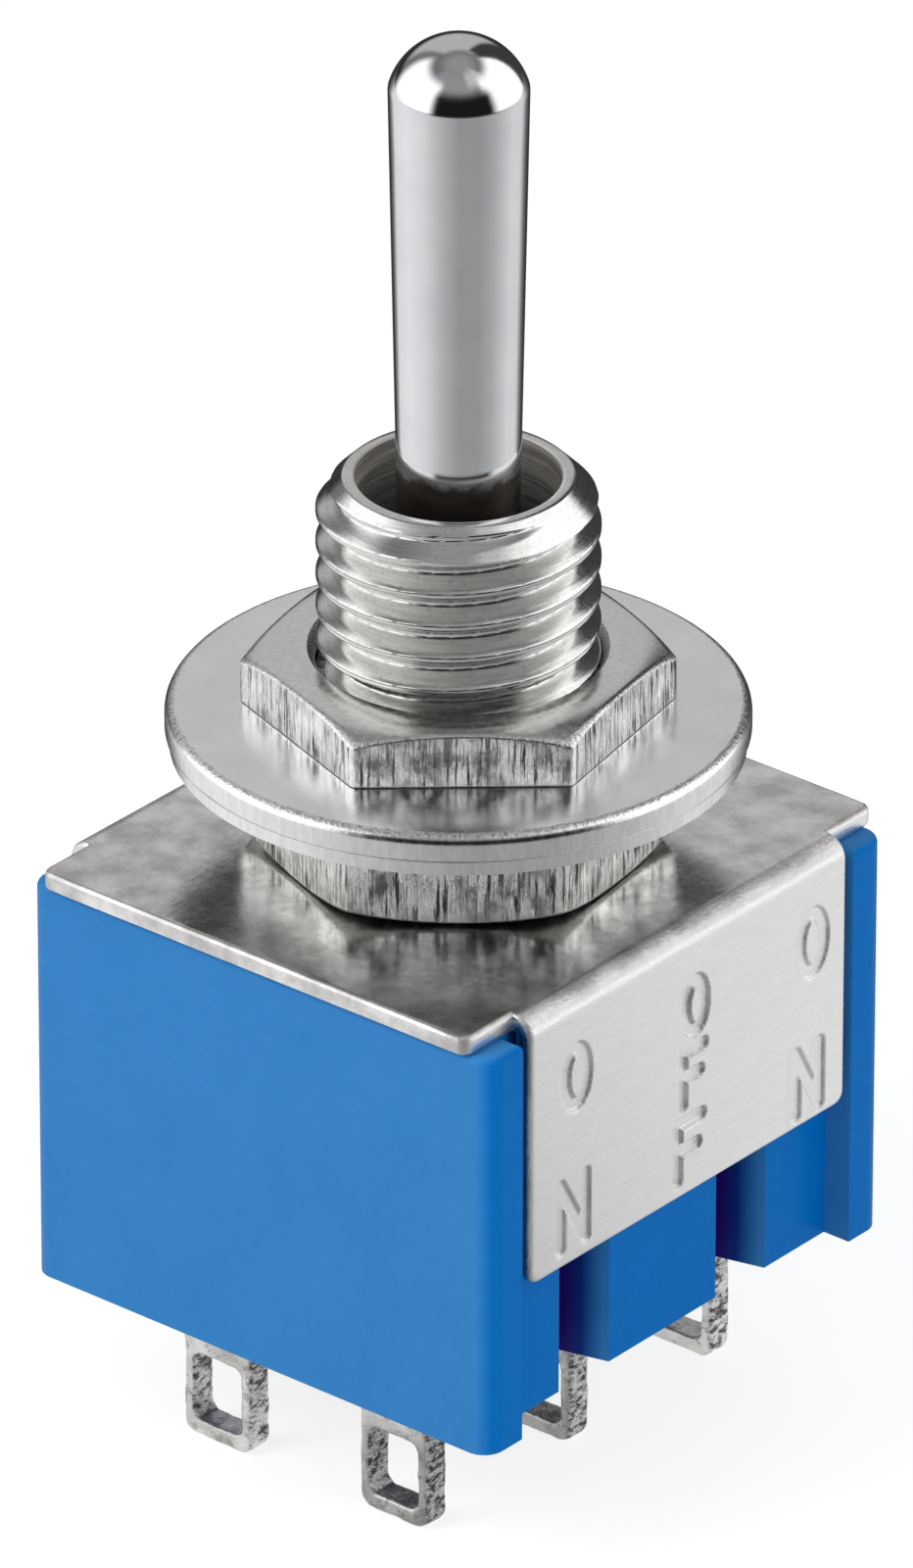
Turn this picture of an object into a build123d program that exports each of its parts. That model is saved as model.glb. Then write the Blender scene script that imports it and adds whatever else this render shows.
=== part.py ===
from build123d import *
import math
import os

# Panel toggle switch. Millimetres, +Z up along the lever. Z is 0 at the tips of the solder lugs,
# X and Y are 0 on the axis of the bushing. The lever swings along Y, the frame's flaps face +X and -X.

# Solder lugs, in two rows of three
lug_length = 3.55
lug_width = 1.9
lug_sheet = 0.7
lug_end_margin = 1.87
lug_side_margin = 0.48
lug_corner_radius = 0.35
lug_edge_radius = 0.12
eye_width = 1.3
eye_height = 1.6
eye_margin = 0.42
eye_corner_radius = 0.2

# Moulded case, open at the top
case_width = 12.62
case_length = 13.24
case_height = 9.45
case_corner_radius = 0.5
case_edge_radius = 0.18
end_wall = 1.0
side_wall = 0.55
case_floor = 1.15
underside_recess = 0.6
seal_thickness = 0.4

# Flap side of the case: pillars at its corners, and two vertical grooves
pillar_width = 1.14
pillar_depth = 0.68
pillar_radius = 0.25
groove_spacing = 5.23
groove_mouth = 1.66
groove_floor = 1.05
groove_depth = 1.2
groove_mouth_radius = 0.15
groove_floor_radius = 0.35
crush_rib_width = 0.5
crush_rib_spacing = 2.2
crush_rib_end = 0.6

# Sheet-metal frame over the case
frame_sheet = 0.45
frame_overhang = 0.16
flap_proud = 0.02
flap_end_gap = 0.23
flap_drop = 6.35
bend_radius = 0.5
tab_corner_radius = 0.3
flap_corner_radius = 0.3
sheet_edge_radius = 0.13

# Threaded bushing. The thread's grooves are rings where it is free, and under the nuts its wall is plain,
# at the thread's mean radius
thread_radius = 3.0
thread_mean_radius = 2.78
thread_pitch = 0.75
thread_depth = 0.42
thread_crest = 0.12
thread_root = 0.09
thread_free_gap = 0.1
bushing_height = 8.6
bushing_ring_radius = 2.43
bore_radius = 2.18
neck_radius = 2.6
stake_radius = 2.8
stake_height = 0.35

# Lever
lever_exposed = 10.1
lever_tip_radius = 1.48
lever_stem_radius = 1.31
lever_dome_height = 1.13
lower_ball_radius = 0.95
pin_radius = 0.4
pin_wall_depth = 0.26
throw_angle = 12.5

# Nuts and washers
nut_flats = 8.0
nut_sides = 6
upper_nut_height = 1.28
upper_nut_turn = 40.9
lower_nut_height = 2.1
lower_nut_turn = 38.7
nut_chamfer_radius = 3.5
nut_chamfer_angle = 15.0
nut_countersink = 0.35
washer_radius = 6.19
washer_thickness = 0.65
washer_edge_radius = 0.24
washer_lower_radius = 0.1
washer_clearance = 0.15
lock_rim_setback = 0.09
lock_sheet = 0.3
lock_ring_width = 1.75
lock_tooth_width = 0.95
lock_tooth_twist = 15.0
lock_tooth_count = 14

# Contacts inside
rocker_height = 1.9
rocker_tilt = 8.0
rocker_sheet = 0.4
rocker_width = 1.6
rocker_end = 0.4
rivet_radius = 0.5
moving_rivet_height = 0.25
fixed_rivet_height = 0.3
terminal_head_sheet = 0.35
terminal_head_inner = 0.9
terminal_head_outer = 0.6
cradle_length = 1.4
centre_rib_width = 0.8

# Driver, plungers and springs
driver_length = 4.6
driver_height = 3.15
driver_corner_radius = 0.3
driver_roof = 0.5
plunger_radius = 0.65
plunger_tip_radius = 0.5
plunger_seat = 1.25
spring_wire_radius = 0.09
spring_turns = 4
insulator_thickness = 0.35
insulator_ledge = 0.45

# Fits and clearances
running_clearance = 0.03
thread_clearance = 0.03
ball_clearance = 0.08
rim_clearance = 0.06
socket_clearance = 0.04
slide_clearance = 0.05
side_clearance = 0.1
press_clearance = 0.01
slot_clearance = 0.02
seat_gap = 0.02
contact_gap = 0.05
plunger_gap = 0.08
plunger_bore_clearance = 0.05
cradle_relief = 0.14
rib_gap = 0.2
overcut = 1.0

# Heights that follow from the sizes above
case_bottom = lug_length
case_top = case_bottom + case_height
plate_top = case_top + frame_sheet
bushing_top = plate_top + bushing_height
thread_end = bushing_top - thread_radius + bushing_ring_radius
lever_top = bushing_top + lever_exposed
floor_bottom = case_bottom + underside_recess
floor_top = floor_bottom + case_floor
stake_bottom = case_top - stake_height
insulator_bottom = case_top - insulator_thickness

# Plan sizes that follow
half_width = case_width / 2
half_length = case_length / 2
recess_face = half_width - pillar_depth
recess_half_length = half_length - pillar_width
cavity_half_width = recess_face - groove_depth - side_wall
cavity_half_length = half_length - end_wall
flap_outer = half_width + flap_proud
flap_inner = flap_outer - frame_sheet
plate_half_width = flap_outer - bend_radius
plate_half_length = half_length + frame_overhang
flap_width = 2 * (recess_half_length - flap_end_gap)
flap_bottom = plate_top - flap_drop
lug_pitch = half_length - lug_end_margin
row_x = cavity_half_width - lug_side_margin - lug_width / 2
row_spacing = 2 * row_x

# Lever geometry: the pivot sits where the tilted stem just clears the bushing's rim
throw = math.radians(throw_angle)
rim_reach = bore_radius - rim_clearance
pivot_depth = (rim_reach - lever_stem_radius / math.cos(throw)) / math.tan(throw)
pivot_height = bushing_top - pivot_depth
pivot_ball_radius = bore_radius - ball_clearance
lower_ball_height = stake_bottom - slide_clearance - lower_ball_radius
lower_arm = pivot_height - lower_ball_height
arm_radius = (rim_reach - (pivot_height - stake_bottom) * math.tan(throw)) * math.cos(throw)
driver_travel = lower_arm * math.sin(throw)
pocket_reach = bore_radius + pin_wall_depth
lower_ball_neck = lower_ball_height + math.sqrt(lower_ball_radius**2 - arm_radius**2)
pivot_ball_lower = pivot_height - math.sqrt(pivot_ball_radius**2 - arm_radius**2)
pivot_ball_upper = pivot_height + math.sqrt(pivot_ball_radius**2 - lever_stem_radius**2)
dome_radius = (lever_tip_radius**2 + lever_dome_height**2) / (2 * lever_dome_height)

# Contact geometry: with a rocker tipped, its lower wing lies level just over the fixed contact
tilt = math.radians(rocker_tilt)
rocker_pivot = floor_top + rocker_height
rocker_top = rocker_pivot + rocker_sheet
rocker_half_length = lug_pitch + rocker_end
wing_rise = rocker_half_length * math.tan(tilt)
fixed_contact_top = rocker_pivot - moving_rivet_height - contact_gap
terminal_head_top = fixed_contact_top - fixed_rivet_height
cradle_top = rocker_pivot - cradle_relief

# Driver geometry
driver_top = insulator_bottom - slide_clearance
driver_bottom = driver_top - driver_height
driver_half_width = cavity_half_width - side_clearance
socket_bottom = lower_ball_height - lower_ball_radius - side_clearance
plunger_tip = rocker_top + plunger_gap
plunger_top = driver_bottom + plunger_seat
plunger_bore_radius = plunger_radius + plunger_bore_clearance
plunger_bore_top = driver_top - driver_roof
spring_coil_radius = plunger_radius - spring_wire_radius - plunger_bore_clearance
spring_bottom = plunger_top + spring_wire_radius
spring_height = plunger_bore_top - plunger_top - 2 * spring_wire_radius
centre_rib_top = driver_bottom - rib_gap

# Stack of nuts and washers on the bushing
lower_nut_top = plate_top + lower_nut_height
lock_twist = math.radians(lock_tooth_twist)
lock_height = lock_tooth_width * math.sin(lock_twist) + lock_sheet * math.cos(lock_twist)
lock_middle = lower_nut_top + seat_gap + lock_height / 2
washer_bottom = lower_nut_top + seat_gap + lock_height
washer_top = washer_bottom + washer_thickness
upper_nut_bottom = washer_top
upper_nut_top = upper_nut_bottom + upper_nut_height
free_thread_start = upper_nut_top + thread_free_gap
thread_flank = (thread_pitch - thread_crest - thread_root) / 2
groove_count = int((thread_end - thread_crest - free_thread_start) / thread_pitch)
nut_corner_radius = nut_flats / 2 / math.cos(math.pi / nut_sides)
nut_bore_radius = thread_radius + thread_clearance
washer_bore_radius = thread_radius + washer_clearance
lock_radius = washer_radius - lock_rim_setback
lock_ring_inner = lock_radius - lock_ring_width
lock_tooth_length = lock_ring_inner + lock_sheet - washer_bore_radius
lock_tooth_middle = washer_bore_radius + lock_tooth_length / 2

os.makedirs("parts", exist_ok=True)

# Case: one outline with pillars and grooves, a cavity for the contacts and slots for the lugs
with BuildPart() as housing:
    with BuildSketch(Plane.XY.offset(case_bottom)) as case_outline:
        Rectangle(case_width, case_length)
        with GridLocations(case_width, 0, 2, 1):
            Rectangle(2 * pillar_depth, 2 * recess_half_length, mode=Mode.SUBTRACT)
        for side in (1, -1):
            with GridLocations(0, groove_spacing, 1, 2):
                Polygon(
                    (side * (recess_face + overcut), groove_mouth / 2),
                    (side * recess_face, groove_mouth / 2),
                    (side * (recess_face - groove_depth), groove_floor / 2),
                    (side * (recess_face - groove_depth), -groove_floor / 2),
                    (side * recess_face, -groove_mouth / 2),
                    (side * (recess_face + overcut), -groove_mouth / 2),
                    align=None,
                    mode=Mode.SUBTRACT,
                )
        corners = case_outline.vertices()
        fillet(
            corners.filter_by(lambda v: abs(v.Y) > recess_half_length + pillar_radius),
            case_corner_radius,
        )
        fillet(
            corners.filter_by(
                lambda v: recess_face + pillar_radius < abs(v.X) and abs(v.Y) < half_length - pillar_radius
            ),
            pillar_radius,
        )
        fillet(
            corners.filter_by(lambda v: abs(v.X) < recess_face - groove_depth / 2),
            groove_floor_radius,
        )
        fillet(
            corners.filter_by(
                lambda v: abs(abs(v.X) - recess_face) < slot_clearance
                and abs(v.Y) < groove_spacing / 2 + groove_mouth
            ),
            groove_mouth_radius,
        )
    extrude(amount=case_height)
    top_rim = housing.faces().sort_by(Axis.Z)[-1].outer_wire().edges()
    fillet(top_rim, case_edge_radius)
    with BuildSketch(Plane.XY.offset(floor_top)):
        Rectangle(2 * cavity_half_width, 2 * cavity_half_length)
    extrude(amount=case_top - floor_top, mode=Mode.SUBTRACT)
    with BuildSketch(Plane.XY.offset(insulator_bottom)):
        Rectangle(2 * cavity_half_width, 2 * (cavity_half_length + insulator_ledge))
    extrude(amount=insulator_thickness, mode=Mode.SUBTRACT)
    with BuildSketch(Plane.XY.offset(case_bottom)):
        Rectangle(2 * cavity_half_width, 2 * cavity_half_length)
    extrude(amount=underside_recess, mode=Mode.SUBTRACT)
    with BuildSketch(Plane.XY.offset(floor_bottom)):
        with GridLocations(row_spacing, lug_pitch, 2, 3):
            Rectangle(lug_width + 2 * slot_clearance, lug_sheet + 2 * slot_clearance)
    extrude(amount=case_floor, mode=Mode.SUBTRACT)
    with BuildSketch(Plane.XY.offset(floor_top)):
        Rectangle(centre_rib_width, 2 * cavity_half_length)
    extrude(amount=centre_rib_top - floor_top)
    with BuildSketch(Plane.XY.offset(flap_bottom + crush_rib_end)):
        with GridLocations(recess_face + flap_inner, crush_rib_spacing, 2, 2):
            Rectangle(flap_inner - recess_face, crush_rib_width)
    extrude(amount=case_top - flap_bottom - 2 * crush_rib_end)
housing.part.label = "housing"
export_step(housing.part, "parts/housing.step")

# Resin in the underside recess, closed around the six lugs
with BuildPart() as terminal_seal:
    with BuildSketch(Plane.XY.offset(floor_bottom - seal_thickness)):
        Rectangle(2 * cavity_half_width, 2 * cavity_half_length)
        with GridLocations(row_spacing, lug_pitch, 2, 3):
            Rectangle(lug_width + 2 * slot_clearance, lug_sheet + 2 * slot_clearance, mode=Mode.SUBTRACT)
    extrude(amount=seal_thickness)
terminal_seal.part.label = "terminal_seal"
export_step(terminal_seal.part, "parts/terminal_seal.step")

# Frame: one sheet bent into a channel, with tabs left standing out at its four corners
with BuildPart() as frame:
    with BuildSketch(Plane.XZ):
        with Locations((0, plate_top - flap_drop / 2)):
            bent = Rectangle(2 * flap_outer, flap_drop)
        fillet(bent.vertices().group_by(Axis.Y)[-1], bend_radius)
        with Locations((0, plate_top - frame_sheet - flap_drop / 2)):
            inside = Rectangle(2 * flap_inner, flap_drop, mode=Mode.PRIVATE)
        add(inside, mode=Mode.SUBTRACT)
    extrude(amount=flap_width / 2, both=True)
    with BuildSketch(Plane.XY.offset(case_top)):
        RectangleRounded(2 * plate_half_width, 2 * plate_half_length, tab_corner_radius)
    extrude(amount=frame_sheet)
    with BuildSketch(Plane.XY.offset(case_top)):
        Circle(neck_radius)
    extrude(amount=frame_sheet, mode=Mode.SUBTRACT)
    top_edges = frame.faces().sort_by(Axis.Z)[-1].outer_wire().edges()
    fillet(top_edges.filter_by(lambda e: abs(e.center().Y) > flap_width / 2), sheet_edge_radius)
    flap_corners = frame.edges().filter_by(Axis.X).filter_by(lambda e: e.center().Z < flap_bottom + seat_gap)
    fillet(flap_corners, flap_corner_radius)
frame.part.label = "frame"
export_step(frame.part, "parts/frame.step")

# Plate between the frame and the driver, with room for the staked end of the bushing
with BuildPart() as insulator_plate:
    with BuildSketch(Plane.XY.offset(insulator_bottom)):
        Rectangle(
            2 * (cavity_half_width - slide_clearance),
            2 * (cavity_half_length + insulator_ledge - slide_clearance),
        )
        Circle(stake_radius + slide_clearance, mode=Mode.SUBTRACT)
    extrude(amount=insulator_thickness)
insulator_plate.part.label = "insulator_plate"
export_step(insulator_plate.part, "parts/insulator_plate.step")


# Outline of the thread's grooves, from the lowest to the highest
def thread_outline():
    points = []
    for groove in reversed(range(groove_count)):
        upper_edge = thread_end - thread_crest - groove * thread_pitch
        lower_edge = upper_edge + thread_crest - thread_pitch
        points += [
            (thread_radius, lower_edge),
            (thread_radius - thread_depth, lower_edge + thread_flank),
            (thread_radius - thread_depth, upper_edge - thread_flank),
            (thread_radius, upper_edge),
        ]
    return points


# Bushing: a shouldered tube staked under the frame, with pockets for the ends of the pivot pin
with BuildPart() as bushing:
    with BuildSketch(Plane.XZ):
        with BuildLine():
            Polyline(
                (bore_radius, stake_bottom),
                (stake_radius, stake_bottom),
                (stake_radius, case_top),
                (neck_radius, case_top),
                (neck_radius, plate_top),
                (thread_mean_radius, plate_top),
                (thread_mean_radius, free_thread_start),
                (thread_radius, free_thread_start),
                *thread_outline(),
                (thread_radius, thread_end),
                (bushing_ring_radius, bushing_top),
                (bore_radius, bushing_top),
                close=True,
            )
        make_face()
    revolve(axis=Axis.Z)
    with BuildSketch(Plane.YZ):
        with Locations((0, pivot_height)):
            Circle(pin_radius + running_clearance)
    extrude(amount=pocket_reach + running_clearance, both=True, mode=Mode.SUBTRACT)
bushing.part.label = "bushing"
export_step(bushing.part, "parts/bushing.step")

# Lever: lower ball, arm, pivot ball and tapered stem with a domed tip, all turned in one profile
with BuildPart() as toggle_lever:
    with BuildSketch(Plane.XZ):
        with BuildLine():
            RadiusArc((0, lower_ball_height - lower_ball_radius), (arm_radius, lower_ball_neck), -lower_ball_radius)
            Line((arm_radius, lower_ball_neck), (arm_radius, pivot_ball_lower))
            RadiusArc((arm_radius, pivot_ball_lower), (lever_stem_radius, pivot_ball_upper), -pivot_ball_radius)
            Polyline(
                (lever_stem_radius, pivot_ball_upper),
                (lever_stem_radius, bushing_top),
                (lever_tip_radius, lever_top - lever_dome_height),
            )
            RadiusArc((lever_tip_radius, lever_top - lever_dome_height), (0, lever_top), -dome_radius)
            Line((0, lever_top), (0, lower_ball_height - lower_ball_radius))
        make_face()
    revolve(axis=Axis.Z)
    with BuildSketch(Plane.YZ):
        with Locations((0, pivot_height)):
            Circle(pin_radius + press_clearance)
    extrude(amount=pocket_reach, both=True, mode=Mode.SUBTRACT)
toggle_lever.part.label = "toggle_lever"
export_step(toggle_lever.part, "parts/toggle_lever.step")

# Cross pin on the lever's turning axis
with BuildPart() as pivot_pin:
    with BuildSketch(Plane.YZ):
        with Locations((0, pivot_height)):
            Circle(pin_radius)
    extrude(amount=pocket_reach, both=True)
pivot_pin.part.label = "pivot_pin"
export_step(pivot_pin.part, "parts/pivot_pin.step")

# Region outside a nut's chamfer, revolved; its flat side lies at height 0
def nut_chamfer_outline():
    reach = nut_corner_radius + overcut
    drop = (reach - nut_chamfer_radius) * math.tan(math.radians(nut_chamfer_angle))
    return [(nut_chamfer_radius, 0), (reach, 0), (reach, -drop)]


# Region inside a nut's countersink, revolved; its wide end lies at height 0
def nut_countersink_outline():
    return [(0, 0), (nut_bore_radius + nut_countersink, 0), (nut_bore_radius, -nut_countersink), (0, -nut_countersink)]


# Upper nut, chamfered side up
with BuildPart() as upper_nut:
    with BuildSketch(Plane.XY.offset(upper_nut_bottom)):
        RegularPolygon(nut_corner_radius, nut_sides, rotation=upper_nut_turn)
        Circle(nut_bore_radius, mode=Mode.SUBTRACT)
    extrude(amount=upper_nut_height)
    with BuildSketch(Plane.XZ.move(Location((0, 0, upper_nut_top)))):
        Polygon(*nut_chamfer_outline(), align=None)
    revolve(axis=Axis.Z, mode=Mode.SUBTRACT)
    with BuildSketch(Plane.XZ.move(Location((0, 0, upper_nut_top)))):
        Polygon(*nut_countersink_outline(), align=None)
    revolve(axis=Axis.Z, mode=Mode.SUBTRACT)
upper_nut.part.label = "upper_nut"
export_step(upper_nut.part, "parts/upper_nut.step")

# Lower nut, chamfered side down on the frame
with BuildPart() as lower_nut:
    with BuildSketch(Plane.XY.offset(plate_top)):
        RegularPolygon(nut_corner_radius, nut_sides, rotation=lower_nut_turn)
        Circle(nut_bore_radius, mode=Mode.SUBTRACT)
    extrude(amount=lower_nut_height)
    with BuildSketch(Plane.XZ.move(Location((0, 0, plate_top)))):
        Polygon(*[(r, -z) for r, z in nut_chamfer_outline()], align=None)
    revolve(axis=Axis.Z, mode=Mode.SUBTRACT)
    with BuildSketch(Plane.XZ.move(Location((0, 0, plate_top)))):
        Polygon(*[(r, -z) for r, z in nut_countersink_outline()], align=None)
    revolve(axis=Axis.Z, mode=Mode.SUBTRACT)
lower_nut.part.label = "lower_nut"
export_step(lower_nut.part, "parts/lower_nut.step")

# Plain washer with a rounded rim
with BuildPart() as flat_washer:
    with BuildSketch(Plane.XY.offset(washer_bottom)):
        Circle(washer_radius)
        Circle(washer_bore_radius, mode=Mode.SUBTRACT)
    extrude(amount=washer_thickness)
    fillet(flat_washer.faces().sort_by(Axis.Z)[-1].outer_wire().edges(), washer_edge_radius)
    fillet(flat_washer.faces().sort_by(Axis.Z)[0].outer_wire().edges(), washer_lower_radius)
flat_washer.part.label = "flat_washer"
export_step(flat_washer.part, "parts/flat_washer.step")

# Lock washer: a thin ring against the plain washer, with twisted teeth on its inside
with BuildPart() as lock_washer:
    with BuildSketch(Plane.XY.offset(washer_bottom - lock_sheet)):
        Circle(lock_radius)
        Circle(lock_ring_inner, mode=Mode.SUBTRACT)
    extrude(amount=lock_sheet)
    with Locations((0, 0, lock_middle)):
        with PolarLocations(lock_tooth_middle, lock_tooth_count):
            Box(lock_tooth_length, lock_tooth_width, lock_sheet, rotation=(lock_tooth_twist, 0, 0))
lock_washer.part.label = "lock_washer"
export_step(lock_washer.part, "parts/lock_washer.step")


# Blade of a solder lug with its rectangular eye, up to the given height
def lug_blade(x, y, top):
    with BuildPart() as blade:
        with BuildSketch(Plane.XZ.offset(-y)):
            with Locations((x, top / 2)):
                outline = Rectangle(lug_width, top)
            fillet(outline.vertices().group_by(Axis.Y)[0], lug_corner_radius)
            with Locations((x, eye_margin + eye_height / 2)):
                RectangleRounded(eye_width, eye_height, eye_corner_radius, mode=Mode.SUBTRACT)
        extrude(amount=lug_sheet / 2, both=True)
        skins = blade.faces().filter_by(Axis.Y)
        rim = ShapeList(e for skin in skins for e in skin.outer_wire().edges())
        fillet(rim.filter_by(lambda e: e.center().Z < top - eye_margin), lug_edge_radius)
    return blade.part


# End terminals, numbered down one row and then the other, each with a head for its fixed contact
end_terminals = {
    "terminal_1": (row_x, -lug_pitch),
    "terminal_3": (row_x, lug_pitch),
    "terminal_4": (-row_x, -lug_pitch),
    "terminal_6": (-row_x, lug_pitch),
}
for name, (x, y) in end_terminals.items():
    outward = math.copysign(1, y)
    head_length = terminal_head_inner + terminal_head_outer
    head_y = y + outward * (terminal_head_outer - terminal_head_inner) / 2
    with BuildPart() as end_terminal:
        add(lug_blade(x, y, terminal_head_top))
        with BuildSketch(Plane.XY.offset(terminal_head_top - terminal_head_sheet)):
            with Locations((x, head_y)):
                Rectangle(lug_width, head_length)
        extrude(amount=terminal_head_sheet)
    end_terminal.part.label = name
    export_step(end_terminal.part, "parts/" + name + ".step")
    rivet_name = name.replace("terminal", "fixed_contact")
    with BuildPart() as fixed_contact:
        with BuildSketch(Plane.XY.offset(terminal_head_top)):
            with Locations((x, y)):
                Circle(rivet_radius)
        extrude(amount=fixed_rivet_height)
        fillet(fixed_contact.faces().sort_by(Axis.Z)[-1].edges(), fixed_rivet_height / 2)
    fixed_contact.part.label = rivet_name
    export_step(fixed_contact.part, "parts/" + rivet_name + ".step")

# Middle terminals, each topped by a cradle for its rocker
for name, x in (("terminal_2", row_x), ("terminal_5", -row_x)):
    with BuildPart() as middle_terminal:
        add(lug_blade(x, 0, cradle_top))
        with BuildSketch(Plane.YZ.offset(x - lug_width / 2)):
            with Locations((0, (floor_top + cradle_top) / 2)):
                Rectangle(cradle_length, cradle_top - floor_top)
        extrude(amount=lug_width)
        with BuildSketch(Plane.YZ.offset(x - lug_width / 2)):
            with Locations((0, rocker_pivot)):
                Circle(rocker_sheet + running_clearance)
        extrude(amount=lug_width, mode=Mode.SUBTRACT)
    middle_terminal.part.label = name
    export_step(middle_terminal.part, "parts/" + name + ".step")

# Rockers: V-shaped blades which tip on the cradles, with a rivet under each wing
for name, x in (("right", row_x), ("left", -row_x)):
    with BuildPart() as rocker:
        with BuildSketch(Plane.YZ.offset(x - rocker_width / 2)):
            Polygon(
                (0, rocker_pivot),
                (rocker_half_length, rocker_pivot + wing_rise),
                (rocker_half_length, rocker_top + wing_rise),
                (0, rocker_top),
                (-rocker_half_length, rocker_top + wing_rise),
                (-rocker_half_length, rocker_pivot + wing_rise),
                align=None,
            )
            with Locations((0, rocker_pivot)):
                Circle(rocker_sheet)
        extrude(amount=rocker_width)
    rocker.part.label = "rocker_" + name
    export_step(rocker.part, "parts/rocker_" + name + ".step")
    with BuildPart() as rocker_tips:
        for side in (1, -1):
            wing_point = (x, side * lug_pitch * math.cos(tilt), rocker_pivot + lug_pitch * math.sin(tilt))
            wing_normal = (0, side * math.sin(tilt), -math.cos(tilt))
            with BuildSketch(Plane(origin=wing_point, x_dir=(1, 0, 0), z_dir=wing_normal)):
                Circle(rivet_radius)
            extrude(amount=moving_rivet_height)
    rocker_tips.part.label = "rocker_tips_" + name
    export_step(rocker_tips.part, "parts/rocker_tips_" + name + ".step")

# Driver: slides along Y, with a socket for the lever's lower ball and a bore for each plunger
with BuildPart() as driver:
    with BuildSketch(Plane.XY.offset(driver_bottom)):
        RectangleRounded(2 * driver_half_width, driver_length, driver_corner_radius)
        with GridLocations(row_spacing, 0, 2, 1):
            Circle(plunger_bore_radius, mode=Mode.SUBTRACT)
    extrude(amount=plunger_bore_top - driver_bottom)
    with BuildSketch(Plane.XY.offset(plunger_bore_top)):
        RectangleRounded(2 * driver_half_width, driver_length, driver_corner_radius)
    extrude(amount=driver_roof)
    with BuildSketch(Plane.XY.offset(socket_bottom)):
        Circle(lower_ball_radius + socket_clearance)
    extrude(amount=driver_top - socket_bottom, mode=Mode.SUBTRACT)
driver.part.label = "driver"
export_step(driver.part, "parts/driver.step")

# Plungers and the springs above them
for name, x in (("right", row_x), ("left", -row_x)):
    with BuildPart() as plunger:
        with BuildSketch(Plane.XY.offset(plunger_tip)):
            with Locations((x, 0)):
                Circle(plunger_radius)
        extrude(amount=plunger_top - plunger_tip)
        fillet(plunger.faces().sort_by(Axis.Z)[0].edges(), plunger_tip_radius)
    plunger.part.label = "plunger_" + name
    export_step(plunger.part, "parts/plunger_" + name + ".step")
    with BuildPart() as spring:
        with BuildLine() as coil:
            Helix(spring_height / spring_turns, spring_height, spring_coil_radius, center=(x, 0, spring_bottom))
        with BuildSketch(Plane(origin=coil.line @ 0, z_dir=coil.line % 0)):
            Circle(spring_wire_radius)
        sweep(is_frenet=True)
    spring.part.label = "spring_" + name
    export_step(spring.part, "parts/spring_" + name + ".step")

print("pivot height", round(pivot_height, 4), "lower arm", round(lower_arm, 4))
print("driver travel", round(driver_travel, 4), "arm radius", round(arm_radius, 4))
print("rocker pivot", round(rocker_pivot, 4), "free thread", round(free_thread_start, 4), "to", round(thread_end, 4))
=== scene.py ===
import math

import bmesh
import bpy
import numpy as np
from mathutils import Matrix, Vector, noise


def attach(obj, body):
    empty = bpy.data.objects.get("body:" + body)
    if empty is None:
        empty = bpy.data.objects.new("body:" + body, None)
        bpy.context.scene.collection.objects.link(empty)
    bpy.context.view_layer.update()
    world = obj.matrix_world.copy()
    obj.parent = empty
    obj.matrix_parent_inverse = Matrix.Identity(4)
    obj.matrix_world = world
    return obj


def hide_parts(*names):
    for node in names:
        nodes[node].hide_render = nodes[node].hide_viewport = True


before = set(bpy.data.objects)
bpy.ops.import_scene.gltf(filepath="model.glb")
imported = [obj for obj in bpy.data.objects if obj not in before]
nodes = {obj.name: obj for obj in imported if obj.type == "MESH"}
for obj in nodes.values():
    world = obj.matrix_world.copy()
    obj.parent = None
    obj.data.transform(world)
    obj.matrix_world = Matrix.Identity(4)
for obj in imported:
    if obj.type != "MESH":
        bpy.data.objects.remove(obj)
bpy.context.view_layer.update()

# All sizes below are millimetres, in the drawing's own frame. Nearer than TOUCHING, two places are one.
MM = 0.001
TOUCHING = 1e-6

# Where most of a noise's values lie
NOISE_RANGE = (0.3, 0.7)

# Camera, as the photograph was taken
VIEW_AZIMUTH = 39.7386
VIEW_ELEVATION = 27.8009
VIEW_ROLL = 0.0505
VIEW_DISTANCE = 374.54
VIEW_TARGET = (0.0, 0.0, 16.0)
LENS = 408.6
SHIFT_X = -0.0012
SHIFT_Y = -0.0342

# Lever
STEM_RADIUS = 1.31
TIP_RADIUS = 1.48
LEVER_TOP = 32.15
DOME_HEIGHT = 1.13
ARM_RADIUS = 0.795
PIVOT_BALL = 2.10
PIVOT_HEIGHT = 18.5398
LOWER_BALL = 0.95
LOWER_BALL_HEIGHT = 11.65

# Bushing and its thread
THREAD_RADIUS = 3.0
THREAD_DEPTH = 0.42
THREAD_PITCH = 0.75
ROWS_PER_PITCH = 34
THREAD_CREST_HEIGHT = 18.46
THREAD_CREST_ANGLE = -50.26
BORE_RADIUS = 2.18
RING_RADIUS = 2.43
NECK_RADIUS = 2.6
STAKE_RADIUS = 2.8
STAKE_BOTTOM = 12.65
CASE_TOP = 13.0
PLATE_TOP = 13.45
BUSHING_TOP = 22.05
THREAD_END = BUSHING_TOP - THREAD_RADIUS + RING_RADIUS

# Nuts and washer
NUT_FLATS = 8.0
NUT_BORE = 3.03
NUT_CORNER = 0.16
NUT_EDGE = 0.05
NUT_BREAK = 0.12
NUT_SINK_WIDTH = 0.16
NUT_SINK_DEPTH = 0.2
NUT_CHAMFER_RADIUS = 3.5
NUT_CHAMFER_SLOPES = (2, 31)
UPPER_NUT = (16.7557, 18.0357, 40.9)
LOWER_NUT = (13.45, 15.55, 38.7)
WASHER = (16.1057, 16.7557)
WASHER_RADIUS = 6.19
WASHER_BORE = 3.15

# Frame
SHEET = 0.45
FLAP_FACE = 6.33
FLAP_HALF = 5.25
FLAP_BOTTOM = 7.10
BEND = 0.5
PLATE_HALF_LENGTH = 6.78
SHEET_CORNER = 0.3
SHEET_EDGE = 0.12

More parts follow.
